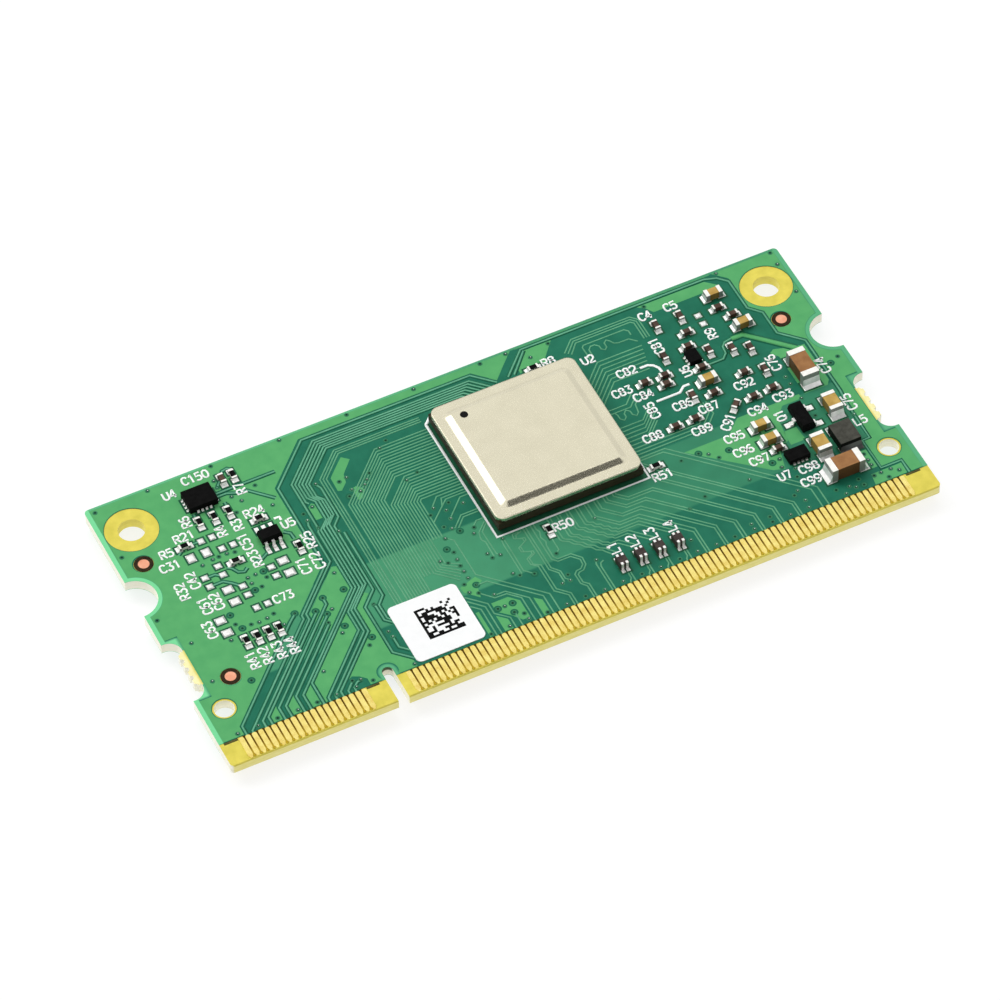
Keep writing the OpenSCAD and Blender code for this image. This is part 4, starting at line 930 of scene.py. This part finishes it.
viaSizes = {   # each profile is radius and height, mm
    "well": [(0, 2.0925), (.06, 2.0935), (.11, 2.098), (.11, 2.07), (0, 2.07)],
    "rim": [(.11, 2.0985), (.16, 2.0995), (.22, 2.096), (.25, 2.07), (.11, 2.07)],
    "glint": [(0, 2.106), (.03, 2.104), (.05, 2.094), (.05, 2.08), (0, 2.08)],
    "ring": disc(.36, layers["inside"], layers["gap"] + layerStep),
    "sides": 12,
    "glintSides": 10,
    "ringSides": 20,
    "glintOffset": (.04, .05),
    "glintTurn": (7, 5, 3),   # step, round and how many of a round glint: three vias in five
}
viaPlaces = [
    (-31.9, -12.55), (-30, -12.55), (-28.2, -12.55), (-26.3, -12.55), (-24.5, -12.55), (-22.7, -12.55),
    (-20.85, -12.55), (-19.3, -12.55), (-15.4, -12.55), (-8.2, -12.6), (-6.4, -12.55), (-4.6, -12.55),
    (-2.85, -12.65), (-1, -12.6), (.8, -12.55), (2.6, -12.65), (4.4, -12.55), (6.2, -12.55), (8, -12.6),
    (9.85, -12.55), (11.6, -12.5), (13.4, -12.55), (15.2, -12.5), (17.1, -12.5), (18.85, -12.5),
    (20.6, -12.5), (22.4, -12.5), (-32.95, 14.9), (-27.9, 15.1), (-32.9, 9.3), (-27.05, 5.35), (-26, 5.55),
    (-25.4, 5.6), (-24.65, 5.6), (-23.95, 5.45), (-24.15, 2.35), (-23.4, 2.4), (-33, 1.6), (-24.1, 1.65),
    (-23.45, .95), (-31.4, -1.95), (-31.5, -6.5), (-27.2, -1.8), (-28.25, -3.2), (-26, -2.4), (-25.3, -2.5),
    (-24.5, -2.4), (-23.8, -2.2), (-23.5, -3.7), (-22.65, 1.7), (-17.3, -.5), (-19.15, -4), (-20.05, -5.2),
    (-19.45, -6.75), (-15.75, -5.15), (-15.9, -8.4), (-15.8, -9.05), (-17.95, -9), (-22.65, -9.8),
    (-21.85, 15.15), (-15.3, 15.15), (-22.3, 13.5), (-22.35, 12.7), (-21.65, 11.2), (-19.3, 11.45),
    (-21.05, 10.4), (-18.85, 8.75), (-22, 9.4), (-14.55, 9.2), (-12.6, 8.5), (-11.85, 8.65), (-15.9, 7),
    (-16.9, 6.6), (-16.9, 5.8), (-16.4, 4.6), (-11.4, 6.7), (-15, 3.5), (-8.8, 15.1), (-2.3, 15.1),
    (4.2, 15.1), (6.7, 15.1), (8.5, 13.75), (10.6, 14.5), (-12, 7.2), (-9.85, 8.2), (-10.35, 7.65),
    (-10.75, 7.2), (-7, 10.9), (-7.85, 10.35), (-6.1, 6.4), (-7.3, 6), (-6.6, 2.1), (-5.15, 2.1),
    (-4.05, 1.5), (-7.15, 1.5), (-5.7, 1.4), (-5.75, .4), (-6.7, -.2), (-6.15, -.65), (-4.4, -1.4),
    (-4.7, -2), (-7.15, -1.4), (-7.15, -3.1), (-8.65, -3.5), (-8.1, -3.95), (-7.25, -3.95), (-4.65, -4.55),
    (-4.45, -5.15), (-3.7, -5.15), (-7.3, -4.7), (-7.3, -5.4), (-7.3, -6.2), (-7.9, -6.7), (-7.9, -7.7),
    (-7.2, -8.1), (-6.1, -8.85), (-5.85, -10.4), (-4.7, -11.85), (-3.65, -7.5), (-3.2, -7.95),
    (-.35, -10.4), (.4, -10.4), (.5, -9.75), (-2.75, -3.65), (.65, -7.2), (5.35, -5.2), (3.4, -9.4),
    (20.1, 14.5), (27.6, 15.1), (33.05, 15.1), (33, 13.6), (33, 10), (14.95, -2.85), (17.4, -3.25),
    (18.05, -4), (22.65, -6.55), (22.4, -7.45), (14.95, -7.35), (19.25, -7.4), (13.15, -8), (27.5, 1.55),
    (27.5, .65), (32.7, 1.6), (27.6, -1.25), (27.75, -3.55), (30.85, -4.95), (23.4, -8.1), (23.1, -9),
    (22.4, -10.4), (21.9, -10.75), (22.5, -11.65), (17.1, -11.9), (18.9, -11.9), (11.65, -11.1),
    (25.4, -11.85), (26.6, -12), (27.1, -12.35), (27.7, -11.65), (26, -12.6), (29.1, -11.9), (29.8, -11.85),
    (30.75, -11.85), (30.2, -12.6), (31.35, -12.3), (29.45, -9.35), (29.45, -10.1), (29.45, -10.7),
    (-20.9, -11.8), (-20.2, -12),
]
ringPlaces = [
    (-28.5, -7.9), (-27.2, -.7), (-26.85, -2.45), (-22.65, 2.4), (-24.15, .85), (-22.2, -3), (-20.5, -3.6),
    (-19.35, -2.55), (-19.75, -4.3), (-18.95, -6.15), (-17.4, -8.3), (-17.35, -2.5), (-12.5, 6.6),
    (-7, -7.2), (-6.5, -10.4), (-5.65, -1.2), (-7.55, -2.55), (-5.1, -10.4), (-5.4, -11.35), (-2, -8.35),
    (16.65, -2.8), (19.2, -3.65), (21.9, -6.65), (31.8, 1.2), (27.85, -12.4),
]
allVias = viaPlaces + ringPlaces
shiftX, shiftY = viaSizes["glintOffset"]
step, lap, lit = viaSizes["glintTurn"]
glints = [(x + shiftX, y + shiftY) for k, (x, y) in enumerate(viaPlaces) if k * step % lap < lit]
stampPiece("viaWells", viaSizes["well"], viaSizes["sides"], allVias, "viaWell")
stampPiece("viaRims", viaSizes["rim"], viaSizes["sides"], allVias, "viaRim")
stampPiece("viaGlints", viaSizes["glint"], viaSizes["glintSides"], glints, "glint")
stampPiece("viaRings", viaSizes["ring"], viaSizes["ringSides"], ringPlaces, "gap")
print("vias stamped,", len(allVias))


# the underside: the same vias come through, with its own pours and traces

under = {
    "middle": 3.08,   # twice the height of the board's middle plane, mm
    "pour": .995, "gap": 1.002, "trace": .998, "inside": 1.01,
    "bodies": [(-20.9, -3.75, -7.1, 8.55), (-1.9, -1.3, 10.4, 9.5), (15, -6.3, 18, -3.7),
               (20.2, .3, 27, 2.7)],   # packages that hide the vias
}
underPours = {
    "underLeft": [notchSide(-1) + [(-24.9, 15.26), (-23.5, 13.9), (-21.7, 13.9), (-21.7, 7), (-25.2, 7),
                                   (-25.2, -5.5), (-31.2, -11.5), (-31.2, -12.85), (-33.36, -12.85)],
                  *holeRims(-1)],
    "underRight": [notchSide(1) + [(-20.5, 15.26), (-19.2, 13.95), (10.9, 13.95), (12.2, 12.65), (12.2, 9.2),
                                   (19, 9.2), (19, -7.2), (29, -7.2), (29, -12.85), (33.36, -12.85)],
                   *holeRims(1)],
    "underMiddle": [[(-20.8, -7.5), (-19.2, -6.2), (-16.2, -6.2), (-16.2, -9.2), (-19.6, -12.85),
                     (-20.8, -12.85)]],
}
for name, outlines in underPours.items():
    platePiece("pour_" + name, outlines, under["pour"], under["inside"], "pour")
underRuns = [
    (12, [(-30.045, -13, .6, 0), (-30.045, -12.2, .6, 0), (-24.6, -6.755, .27, -.33), (-24.6, 6.2, .27, -.45),
          (-20.7, 6.2, 0, -.45)]),
    (10, [(-13.845, -13, .6, 0), (-13.845, -11.8, .6, 0), (-15.5, -10.145, .27, .33), (-15.5, -6.4, .27, 0)]),
    (16, [(-3.045, -13, .6, 0), (-3.045, -9.5, .6, 0), (1.5, -4.955, .3, -.3), (1.5, -3.7, .3, 0)]),
    (9, [(14.355, -13, .6, 0), (14.355, -9, .6, 0), (12.5, -7.145, .27, .33), (12.5, 8, .27, 0)]),
    (6, [(-7.2, 6.5, 0, -.6), (-1.8, 6.5, 0, -.6)]),
    (4, [(19.4, 9.6, 0, -.4), (26.8, 9.6, -.1, -.4), (29, 7.4, -.27, -.23), (29, -4, -.27, -.1)]),
]
underPaths = layOut(underRuns)
layTraces("underClearance", underPaths, "clearance", under["gap"], "gapThickness", "gap")
layTraces("underTraces", underPaths, "width", under["trace"], "thickness", "trace")


def isClear(place, boxes):
    return all(not (x0 < place[0] < x1 and y0 < place[1] < y1) for x0, y0, x1, y1 in boxes)


def turnOver(profile):
    return [(radius, under["middle"] - height) for radius, height in profile[::-1]]


underVias = [place for place in allVias if isClear(place, under["bodies"])]
stampPiece("underWells", turnOver(viaSizes["well"]), viaSizes["sides"], underVias, "viaWell")
stampPiece("underRims", turnOver(viaSizes["rim"]), viaSizes["sides"], underVias, "viaRim")
print("underside laid,", len(underPaths), "traces,", len(underVias), "vias")


# clearances round the lands, darkened as painted shade, and round the fiducials

landShadeBorder = {   # mm
    "reach": .17,
    "nodes": ["lands_top", "lands_bare"],
    "rise": .001,
    "levels": 8,   # so that borders that meet never share a face
    "step": .0004,
    "mitre": .5,   # keeps a sharp corner from growing far
}
landWeld = 1e-6   # metres
hullDigits, leastTurn = 4, 1e-9   # of places in mm, and of a corner in mm²


def islandsOf(node):
    merged = bmesh.new()
    merged.from_mesh(node.data)
    bmesh.ops.remove_doubles(merged, verts=merged.verts, dist=landWeld)
    left = set(merged.verts)
    islands = []
    while left:
        stack = [left.pop()]
        island = []
        while stack:
            vert = stack.pop()
            island.append((vert.co.x / mm, vert.co.y / mm))
            for edge in vert.link_edges:
                other = edge.other_vert(vert)
                if other in left:
                    left.remove(other)
                    stack.append(other)
        islands.append(sorted(island))
    merged.free()
    return sorted(islands)


def spanOf(island):   # least and most x, then least and most y
    xs, ys = zip(*island)
    return min(xs), max(xs), min(ys), max(ys)


def hullOf(points):
    points = sorted(set((round(x, hullDigits), round(y, hullDigits)) for x, y in points))
    chains = []
    for ordered in (points, points[::-1]):
        chain = []
        for p in ordered:
            while len(chain) > 1:
                (ax, ay), (bx, by) = chain[-2], chain[-1]
                if (bx - ax) * (p[1] - ay) - (by - ay) * (p[0] - ax) > leastTurn:
                    break
                chain.pop()
            chain.append(p)
        chains += chain[:-1]
    return chains


def growHull(hull, reach, mitre):
    grown = []
    for k, (x, y) in enumerate(hull):
        before, after = Vector(hull[k - 1]), Vector(hull[(k + 1) % len(hull)])
        here = Vector((x, y))
        inward = (here - before).normalized()
        outward = (after - here).normalized()
        normal = Vector((inward.y + outward.y, -inward.x - outward.x))
        normal.normalize()
        spread = max(mitre, normal.dot(Vector((inward.y, -inward.x))))
        grown.append(tuple(here + normal * (reach / spread)))
    return grown


borders = []
for name in landShadeBorder["nodes"]:
    borders += [growHull(hullOf(island), landShadeBorder["reach"], landShadeBorder["mitre"])
                for island in islandsOf(nodes[name])]
borderBuild = bmesh.new()
for order, outline in enumerate(borders):
    rise = layers["gap"] + landShadeBorder["rise"] + order % landShadeBorder["levels"] * landShadeBorder["step"]
    top, low = ([borderBuild.verts.new((x * mm, y * mm, height * mm)) for x, y in outline]
                for height in (rise, layers["inside"]))
    borderBuild.faces.new(top)
    borderBuild.faces.new(low[::-1])
    for k in range(len(outline)):
        after = (k + 1) % len(outline)
        borderBuild.faces.new((top[k], low[k], low[after], top[after]))
buildPiece("landBorders", borderBuild, "shadeBorder")
print("land borders made,", len(borders))

fiducialRing = {"radius": .86, "sides": 32}
ringCentres = []
for island in islandsOf(nodes["fiducials"]):
    left, right, front, back = spanOf(island)
    ringCentres.append(((left + right) / 2, (front + back) / 2))
stampPiece("fiducialRings", disc(fiducialRing["radius"], layers["inside"], layers["gap"]),
           fiducialRing["sides"], ringCentres, "ring")


# painted shade on the laminate between the contacts, and the shadow line at the mask's front edge

contactGaps = {"rows": [(-31.545, 19), (-15.945, 79)], "pitch": .6, "width": .2, "back": -12.95,
               "front": -15.33, "top": 2.088, "thickness": .06, "underTop": 1.05, "underThickness": .056}
gapShadePaths = []
for start, count in contactGaps["rows"]:
    for k in range(count):
        x = start + k * contactGaps["pitch"]
        gapShadePaths.append([(x, contactGaps["back"]), (x, contactGaps["front"])])
faces = (("contactGaps", "top", "thickness"), ("underGaps", "underTop", "underThickness"))
for name, top, thickness in faces:
    ribbonPiece(name, gapShadePaths, contactGaps["width"], contactGaps[top], contactGaps[thickness], "contactGapShade")
edgeShadow = {"y": -13.04, "spans": [(-33.4, -32.12), (-20.15, -18.95), (31.6, 33)], "width": .24,
              "top": 2.055, "thickness": .02}
shadowPaths = [[(x, edgeShadow["y"]) for x in span] for span in edgeShadow["spans"]]
ribbonPiece("maskEdgeShadow", shadowPaths, edgeShadow["width"], edgeShadow["top"], edgeShadow["thickness"],
            "maskEdge")
print("contact gaps laid,", len(gapShadePaths))


# solder cushions on the bare lands

cushion = {"base": 2.099, "height": .07, "share": .97, "steps": 6, "power": 4}   # share of the land covered
cushionBuild = bmesh.new()
steps, power = cushion["steps"], cushion["power"]
for island in islandsOf(nodes["lands_bare"]):
    left, right, front, back = spanOf(island)
    grid = []
    for i in range(steps + 1):
        row = []
        u = -1 + 2 * i / steps
        for j in range(steps + 1):
            v = -1 + 2 * j / steps
            swell = (1 - u ** power) * (1 - v ** power)
            x = (left + right) / 2 + u * (right - left) / 2 * cushion["share"]
            y = (front + back) / 2 + v * (back - front) / 2 * cushion["share"]
            z = cushion["base"] + cushion["height"] * swell
            row.append(cushionBuild.verts.new((x * mm, y * mm, z * mm)))
        grid.append(row)
    for i in range(steps):
        for j in range(steps):
            corners = (grid[i][j], grid[i + 1][j], grid[i + 1][j + 1], grid[i][j + 1])
            cushionBuild.faces.new(corners).smooth = True
    around = [row[0] for row in grid] + grid[steps][1:]
    around += [row[steps] for row in grid[-2::-1]] + grid[0][-2:0:-1]
    cushionBuild.faces.new(around[::-1])
buildPiece("solderCushions", cushionBuild, "solder")
print("solder cushions made")


# legend: strokes of each character on a unit square

strokes = {
    "C": [[(1, .8), (.85, .96), (.5, 1), (.15, .92), (0, .68), (0, .32), (.15, .08), (.5, 0), (.85, .04),
           (1, .2)]],
    "R": [[(0, 0), (0, 1), (.65, 1), (.95, .9), (.95, .6), (.65, .5), (0, .5)], [(.5, .5), (1, 0)]],
    "U": [[(0, 1), (0, .25), (.2, .04), (.5, 0), (.8, .04), (1, .25), (1, 1)]],
    "L": [[(0, 1), (0, 0), (.95, 0)]],
    "Q": [[(.5, 0), (.12, .12), (0, .4), (0, .6), (.12, .88), (.5, 1), (.88, .88), (1, .6), (1, .4),
           (.88, .12), (.5, 0)], [(.6, .25), (1, -.05)]],
    "0": [[(.5, 0), (.15, .1), (0, .35), (0, .65), (.15, .9), (.5, 1), (.85, .9), (1, .65), (1, .35),
           (.85, .1), (.5, 0)]],
    "1": [[(.15, .8), (.45, 1), (.55, 1), (.55, 0)]],
    "2": [[(0, .8), (.15, .95), (.5, 1), (.85, .93), (1, .75), (.9, .52), (.08, .1), (0, 0), (1, 0)]],
    "3": [[(.05, 1), (.95, 1), (.95, .94), (.5, .6), (.85, .5), (1, .3), (.85, .08), (.5, 0), (.15, .05),
           (0, .2)]],
    "4": [[(.72, 0), (.72, 1), (.6, 1), (0, .34), (0, .28), (1, .28)]],
    "5": [[(.95, 1), (.1, 1), (.05, .55), (.5, .62), (.85, .55), (1, .32), (.85, .08), (.5, 0), (.12, .05),
           (0, .15)]],
    "6": [[(.9, .93), (.5, 1), (.15, .85), (0, .5), (0, .3), (.15, .07), (.5, 0), (.85, .07), (1, .3),
           (.85, .52), (.5, .58), (.15, .5), (0, .3)]],
    "7": [[(0, 1), (1, 1), (.4, 0)]],
    "8": [[(.5, .53), (.15, .62), (.05, .77), (.15, .93), (.5, 1), (.85, .93), (.95, .77), (.85, .62),
           (.5, .53), (.12, .42), (0, .26), (.12, .07), (.5, 0), (.88, .07), (1, .26), (.88, .42),
           (.5, .53)]],
    "9": [[(.1, .07), (.5, 0), (.85, .15), (1, .5), (1, .7), (.85, .93), (.5, 1), (.15, .93), (0, .7),
           (.15, .48), (.5, .42), (.85, .5), (1, .7)]],
}
legend = {"height": .86, "glyph": .49, "advance": .645, "line": .185, "frame": .26, "thickness": .008}
designators = [   # text, centre x and y, turn in degrees
    ("U4", -26.4, 13.8, 0), ("C150", -23.6, 14.6, 0), ("R6", -26.4, 10.4, 90), ("R21", -27.2, 8.95, 0),
    ("R5", -29.3, 7.9, 0), ("C31", -29.6, 6.5, 0), ("C42", -28.5, 4.2, 90), ("R32", -29.8, 3.5, 90),
    ("R4", -24.05, 8.1, 90), ("R3", -22.5, 8.1, 90), ("C51", -22.7, 6.1, 90), ("R23", -22.65, 4, 90),
    ("R24", -20.6, 8.8, 0), ("U5", -18.5, 6.3, 0), ("R25", -17.7, 3.8, 90), ("R7", -20.6, 11.7, 90),
    ("C61", -28.7, 1.2, 90), ("C62", -27.6, 1.2, 90), ("C63", -29.4, -1.4, 90), ("C71", -19.3, 1.4, 90),
    ("C72", -18, 1.4, 90), ("C73", -22.3, -.9, 0), ("R41", -27.5, -6, 90), ("R42", -26.3, -6, 90),
    ("R43", -25, -6, 90), ("R44", -23.8, -6, 90), ("R50", 2.6, -4.6, 0), ("R51", 12.8, -3.55, 0),
    ("U2", 12.9, 11.2, 0), ("R8", 9.7, 12.6, 0), ("L1", 5.3, -8.9, 90), ("L2", 7.1, -8.9, 90),
    ("L3", 8.9, -8.9, 90), ("L4", 10.75, -8.9, 90), ("C4", 19.7, 13.5, 0), ("C5", 22.2, 13.5, 0),
    ("C81", 19, 9.9, 90), ("C82", 15.3, 8.4, 0), ("C83", 13.9, 6.5, 0), ("C84", 15.4, 5.3, 0),
    ("C85", 15.3, 3.4, 90), ("C86", 18, 2.8, 0), ("C87", 19.9, 1.5, 0), ("C88", 14, .7, 0),
    ("C89", 18.2, -.5, 0), ("C91", 20.6, -.8, 45), ("C92", 23.9, 2.5, 0), ("C93", 26.3, -.25, 0),
    ("C94", 23.6, -.7, 0), ("C95", 20.3, -2.55, 0), ("C96", 20.3, -4.3, 0), ("C97", 21.1, -5.8, 0),
    ("Q1", 25, -2.2, 90), ("U7", 22.2, -8.4, 0), ("C98", 24.5, -8.5, 0), ("C99", 24, -9.9, 0),
    ("C74", 31.05, 1.3, 90), ("C75", 31.1, -3.5, 90), ("L5", 31, -5.8, 0), ("C76", 27.3, 3.5, 90),
    ("R9", 24, 9, 90), ("U6", 20, 6.1, 90),
]
frameLines = [
    [(-3.1, 10.9), (-3.1, -3.3), (11.65, -3.3), (11.65, 11.5), (-2.5, 11.5), (-3.1, 10.9)],
    [(-19.4, 7.3), (-18.9, 7.3), (-18.9, 6.9)],
    [(16.55, 8.25), (17.3, 8.25), (17.75, 8), (18.05, 7.55), (18.1, 7)],
    [(16.1, 4.15), (18.4, 4.15), (19, 4.65), (19.6, 4.65)],
]


def writeText(text, x, y, turn):
    paths = []
    wide = legend["advance"] * (len(text) - 1) + legend["glyph"]
    cosine, sine = math.cos(math.radians(turn)), math.sin(math.radians(turn))
    for k, letter in enumerate(text):
        for stroke in strokes[letter]:
            path = []
            for u, v in stroke:
                across = k * legend["advance"] + u * legend["glyph"] - wide / 2
                up = (v - .5) * legend["height"]
                path.append((x + across * cosine - up * sine, y + across * sine + up * cosine))
            paths.append(path)
    return paths


legendPaths = []
for text, x, y, turn in designators:
    legendPaths += writeText(text, x, y, turn)
for name, paths, width in (("legend", legendPaths, "line"), ("frameLines", frameLines, "frame")):
    ribbonPiece(name, paths, legend[width], layers["ink"], legend["thickness"], "ink")
print("legend drawn,", len(designators))


# label code and lid mark

code = {"left": -13.1, "bottom": -10.85, "module": .243, "count": 14, "share": .47, "seed": 7, "lift": .002}
module = code["module"]
codePoints = newMesh("labelCode", [
    ((code["left"] + (i + .5) * module) * mm, (code["bottom"] + (j + .5) * module) * mm,
     (layers["paper"] + code["lift"]) * mm)
    for i in range(code["count"]) for j in range(code["count"])])
labelCode = growPiece("labelCode", codePoints, trees["code"], {
    "Module": module * mm, "Share": code["share"], "Seed": code["seed"],
    "Left": (code["left"] + module) * mm, "Bottom": (code["bottom"] + module) * mm,
    "Material": looks["print"]})
seat(labelCode)

lidMark = {"place": (-.25, 9.02), "radius": .36, "bottom": 3.93, "top": 3.972, "sides": 32}
stampPiece("lidMark", disc(lidMark["radius"], lidMark["bottom"], lidMark["top"]), lidMark["sides"],
           [lidMark["place"]], "mark")
print("label code and lid mark made")


# floor, light and camera

def stagePlane(name, half, height, look, colour, glow):   # a square, and glow is its own light
    corners = [(x * half, y * half, height * mm) for x, y in ((-1, -1), (1, -1), (1, 1), (-1, 1))]
    mesh = newMesh(name, corners, [], [(0, 1, 2, 3)])
    material = bpy.data.materials.new(look)
    material.use_nodes = True
    shader = material.node_tree.nodes["Principled BSDF"]
    shader.inputs["Base Color"].default_value = (colour, colour, colour, 1)
    shader.inputs["Emission Color"].default_value = (1, 1, 1, 1)
    shader.inputs["Emission Strength"].default_value = glow
    mesh.materials.append(material)
    return linkData(name, mesh), shader


floorSizes = {"reach": 3.0, "height": -.02, "colour": .22, "glow": .8, "rough": .9, "specular": .1}
floor, floorShader = stagePlane("floor", floorSizes["reach"], floorSizes["height"], "paleFloor",
                                floorSizes["colour"], floorSizes["glow"])
floorShader.inputs["Roughness"].default_value = floorSizes["rough"]
floorShader.inputs["Specular IOR Level"].default_value = floorSizes["specular"]

sky = {   # light for the matt surfaces, from low to high along one direction
    "low": .45,
    "high": .72,
    "span": (-.3, .9),
    "from": (.2, .7, .6),
    "background": 1,
}
world = bpy.context.scene.world or bpy.data.worlds.new("studio")
bpy.context.scene.world = world
world.use_nodes = True
skyTree = world.node_tree
skyShader = skyTree.nodes["Background"]
skyRays = addNode(skyTree, "ShaderNodeLightPath").outputs
skyDot = addNode(skyTree, "ShaderNodeVectorMath", operation="DOT_PRODUCT")
feed(skyTree, skyDot.inputs[0], addNode(skyTree, "ShaderNodeTexCoord").outputs["Generated"])
feed(skyTree, skyDot.inputs[1], sky["from"])
skyLevel = addRange(skyTree, skyDot.outputs["Value"], *sky["span"], sky["low"], sky["high"])
seenRays = [skyRays[f"Is {kind} Ray"] for kind in ("Camera", "Glossy", "Transmission")]
skySeen = addChain(skyTree, "MAXIMUM", *seenRays)
skyMix = addNode(skyTree, "ShaderNodeMix")   # 2, 3 and 0 are the number sockets
for key, value in (("Factor", skySeen), (2, skyLevel), (3, sky["background"])):
    feed(skyTree, skyMix.inputs[key], value)
feed(skyTree, skyShader.inputs["Strength"], skyMix.outputs[0])
skyShader.inputs["Color"].default_value = (1, 1, 1, 1)

lamps = [   # name, place in metres, power in watts, width and height in metres
    ("keySoftbox", (-.42, .53, .62), 3.4, .5, .45),
    ("topSoftbox", (.12, .4, .8), 2.2, .6, .4),
]
for name, place, power, width, height in lamps:
    lamp = bpy.data.lights.new(name, "AREA")
    lamp.shape = "RECTANGLE"
    lamp.size = width
    lamp.size_y = height
    lamp.energy = power
    holder = linkData(name, lamp)
    holder.location = place
    holder.rotation_euler = (-Vector(place)).to_track_quat("-Z", "Y").to_euler()
    holder.visible_glossy = False   # the cards stand in for the lamps in reflections

cards = [   # name, place in metres, half its size, its own light: only mirror-like faces see them
    ("leftCard", (-.42, .53, .62), .18, 3.0),
    ("ridgeCard", (.134, .058, .48), .055, 2.4),
    ("frontCard", (.16, -.19, .554), .2, 0),
    ("rightCard", (.5, .37, .16), .16, .82),
    ("backCard", (.17, .62, .03), .16, .8),
]
cardTone = .02
for name, place, half, glow in cards:
    card, _ = stagePlane(name, half, 0, name, cardTone, glow)
    card.location = place
    card.rotation_euler = Vector(place).to_track_quat("Z", "Y").to_euler()
    card.visible_camera = False
    card.visible_diffuse = False
    card.visible_transmission = False
    card.visible_shadow = False

view = {   # angles in degrees, lengths in mm
    "azimuth": -24.823,
    "elevation": 50.5368,
    "roll": -1.61337,
    "distance": 540.617,
    "target": (-1.0517, .3303, 2.0945),
    "lens": 224.808,
    "sensor": 36,
    "clip": (.01, 20),   # metres
}
azimuth, elevation, roll = (math.radians(view[key]) for key in ("azimuth", "elevation", "roll"))
right = Vector((math.cos(azimuth), math.sin(azimuth), 0))
back = Vector((math.sin(azimuth) * math.cos(elevation), -math.cos(azimuth) * math.cos(elevation),
               math.sin(elevation)))
up = back.cross(right)
turnedRight = math.cos(roll) * right + math.sin(roll) * up
turnedUp = -math.sin(roll) * right + math.cos(roll) * up
camera = bpy.data.cameras.new("photoCamera")
camera.sensor_width = view["sensor"]
camera.lens = view["lens"]
camera.clip_start, camera.clip_end = view["clip"]
cameraHolder = linkData("photoCamera", camera)
eye = Vector(view["target"]) * mm + back * view["distance"] * mm
turn = Matrix((turnedRight, turnedUp, back)).transposed().to_4x4()
cameraHolder.matrix_world = Matrix.Translation(eye) @ turn
bpy.context.scene.camera = cameraHolder
bpy.context.scene.view_settings.view_transform = "Standard"
print("floor, light and camera set")
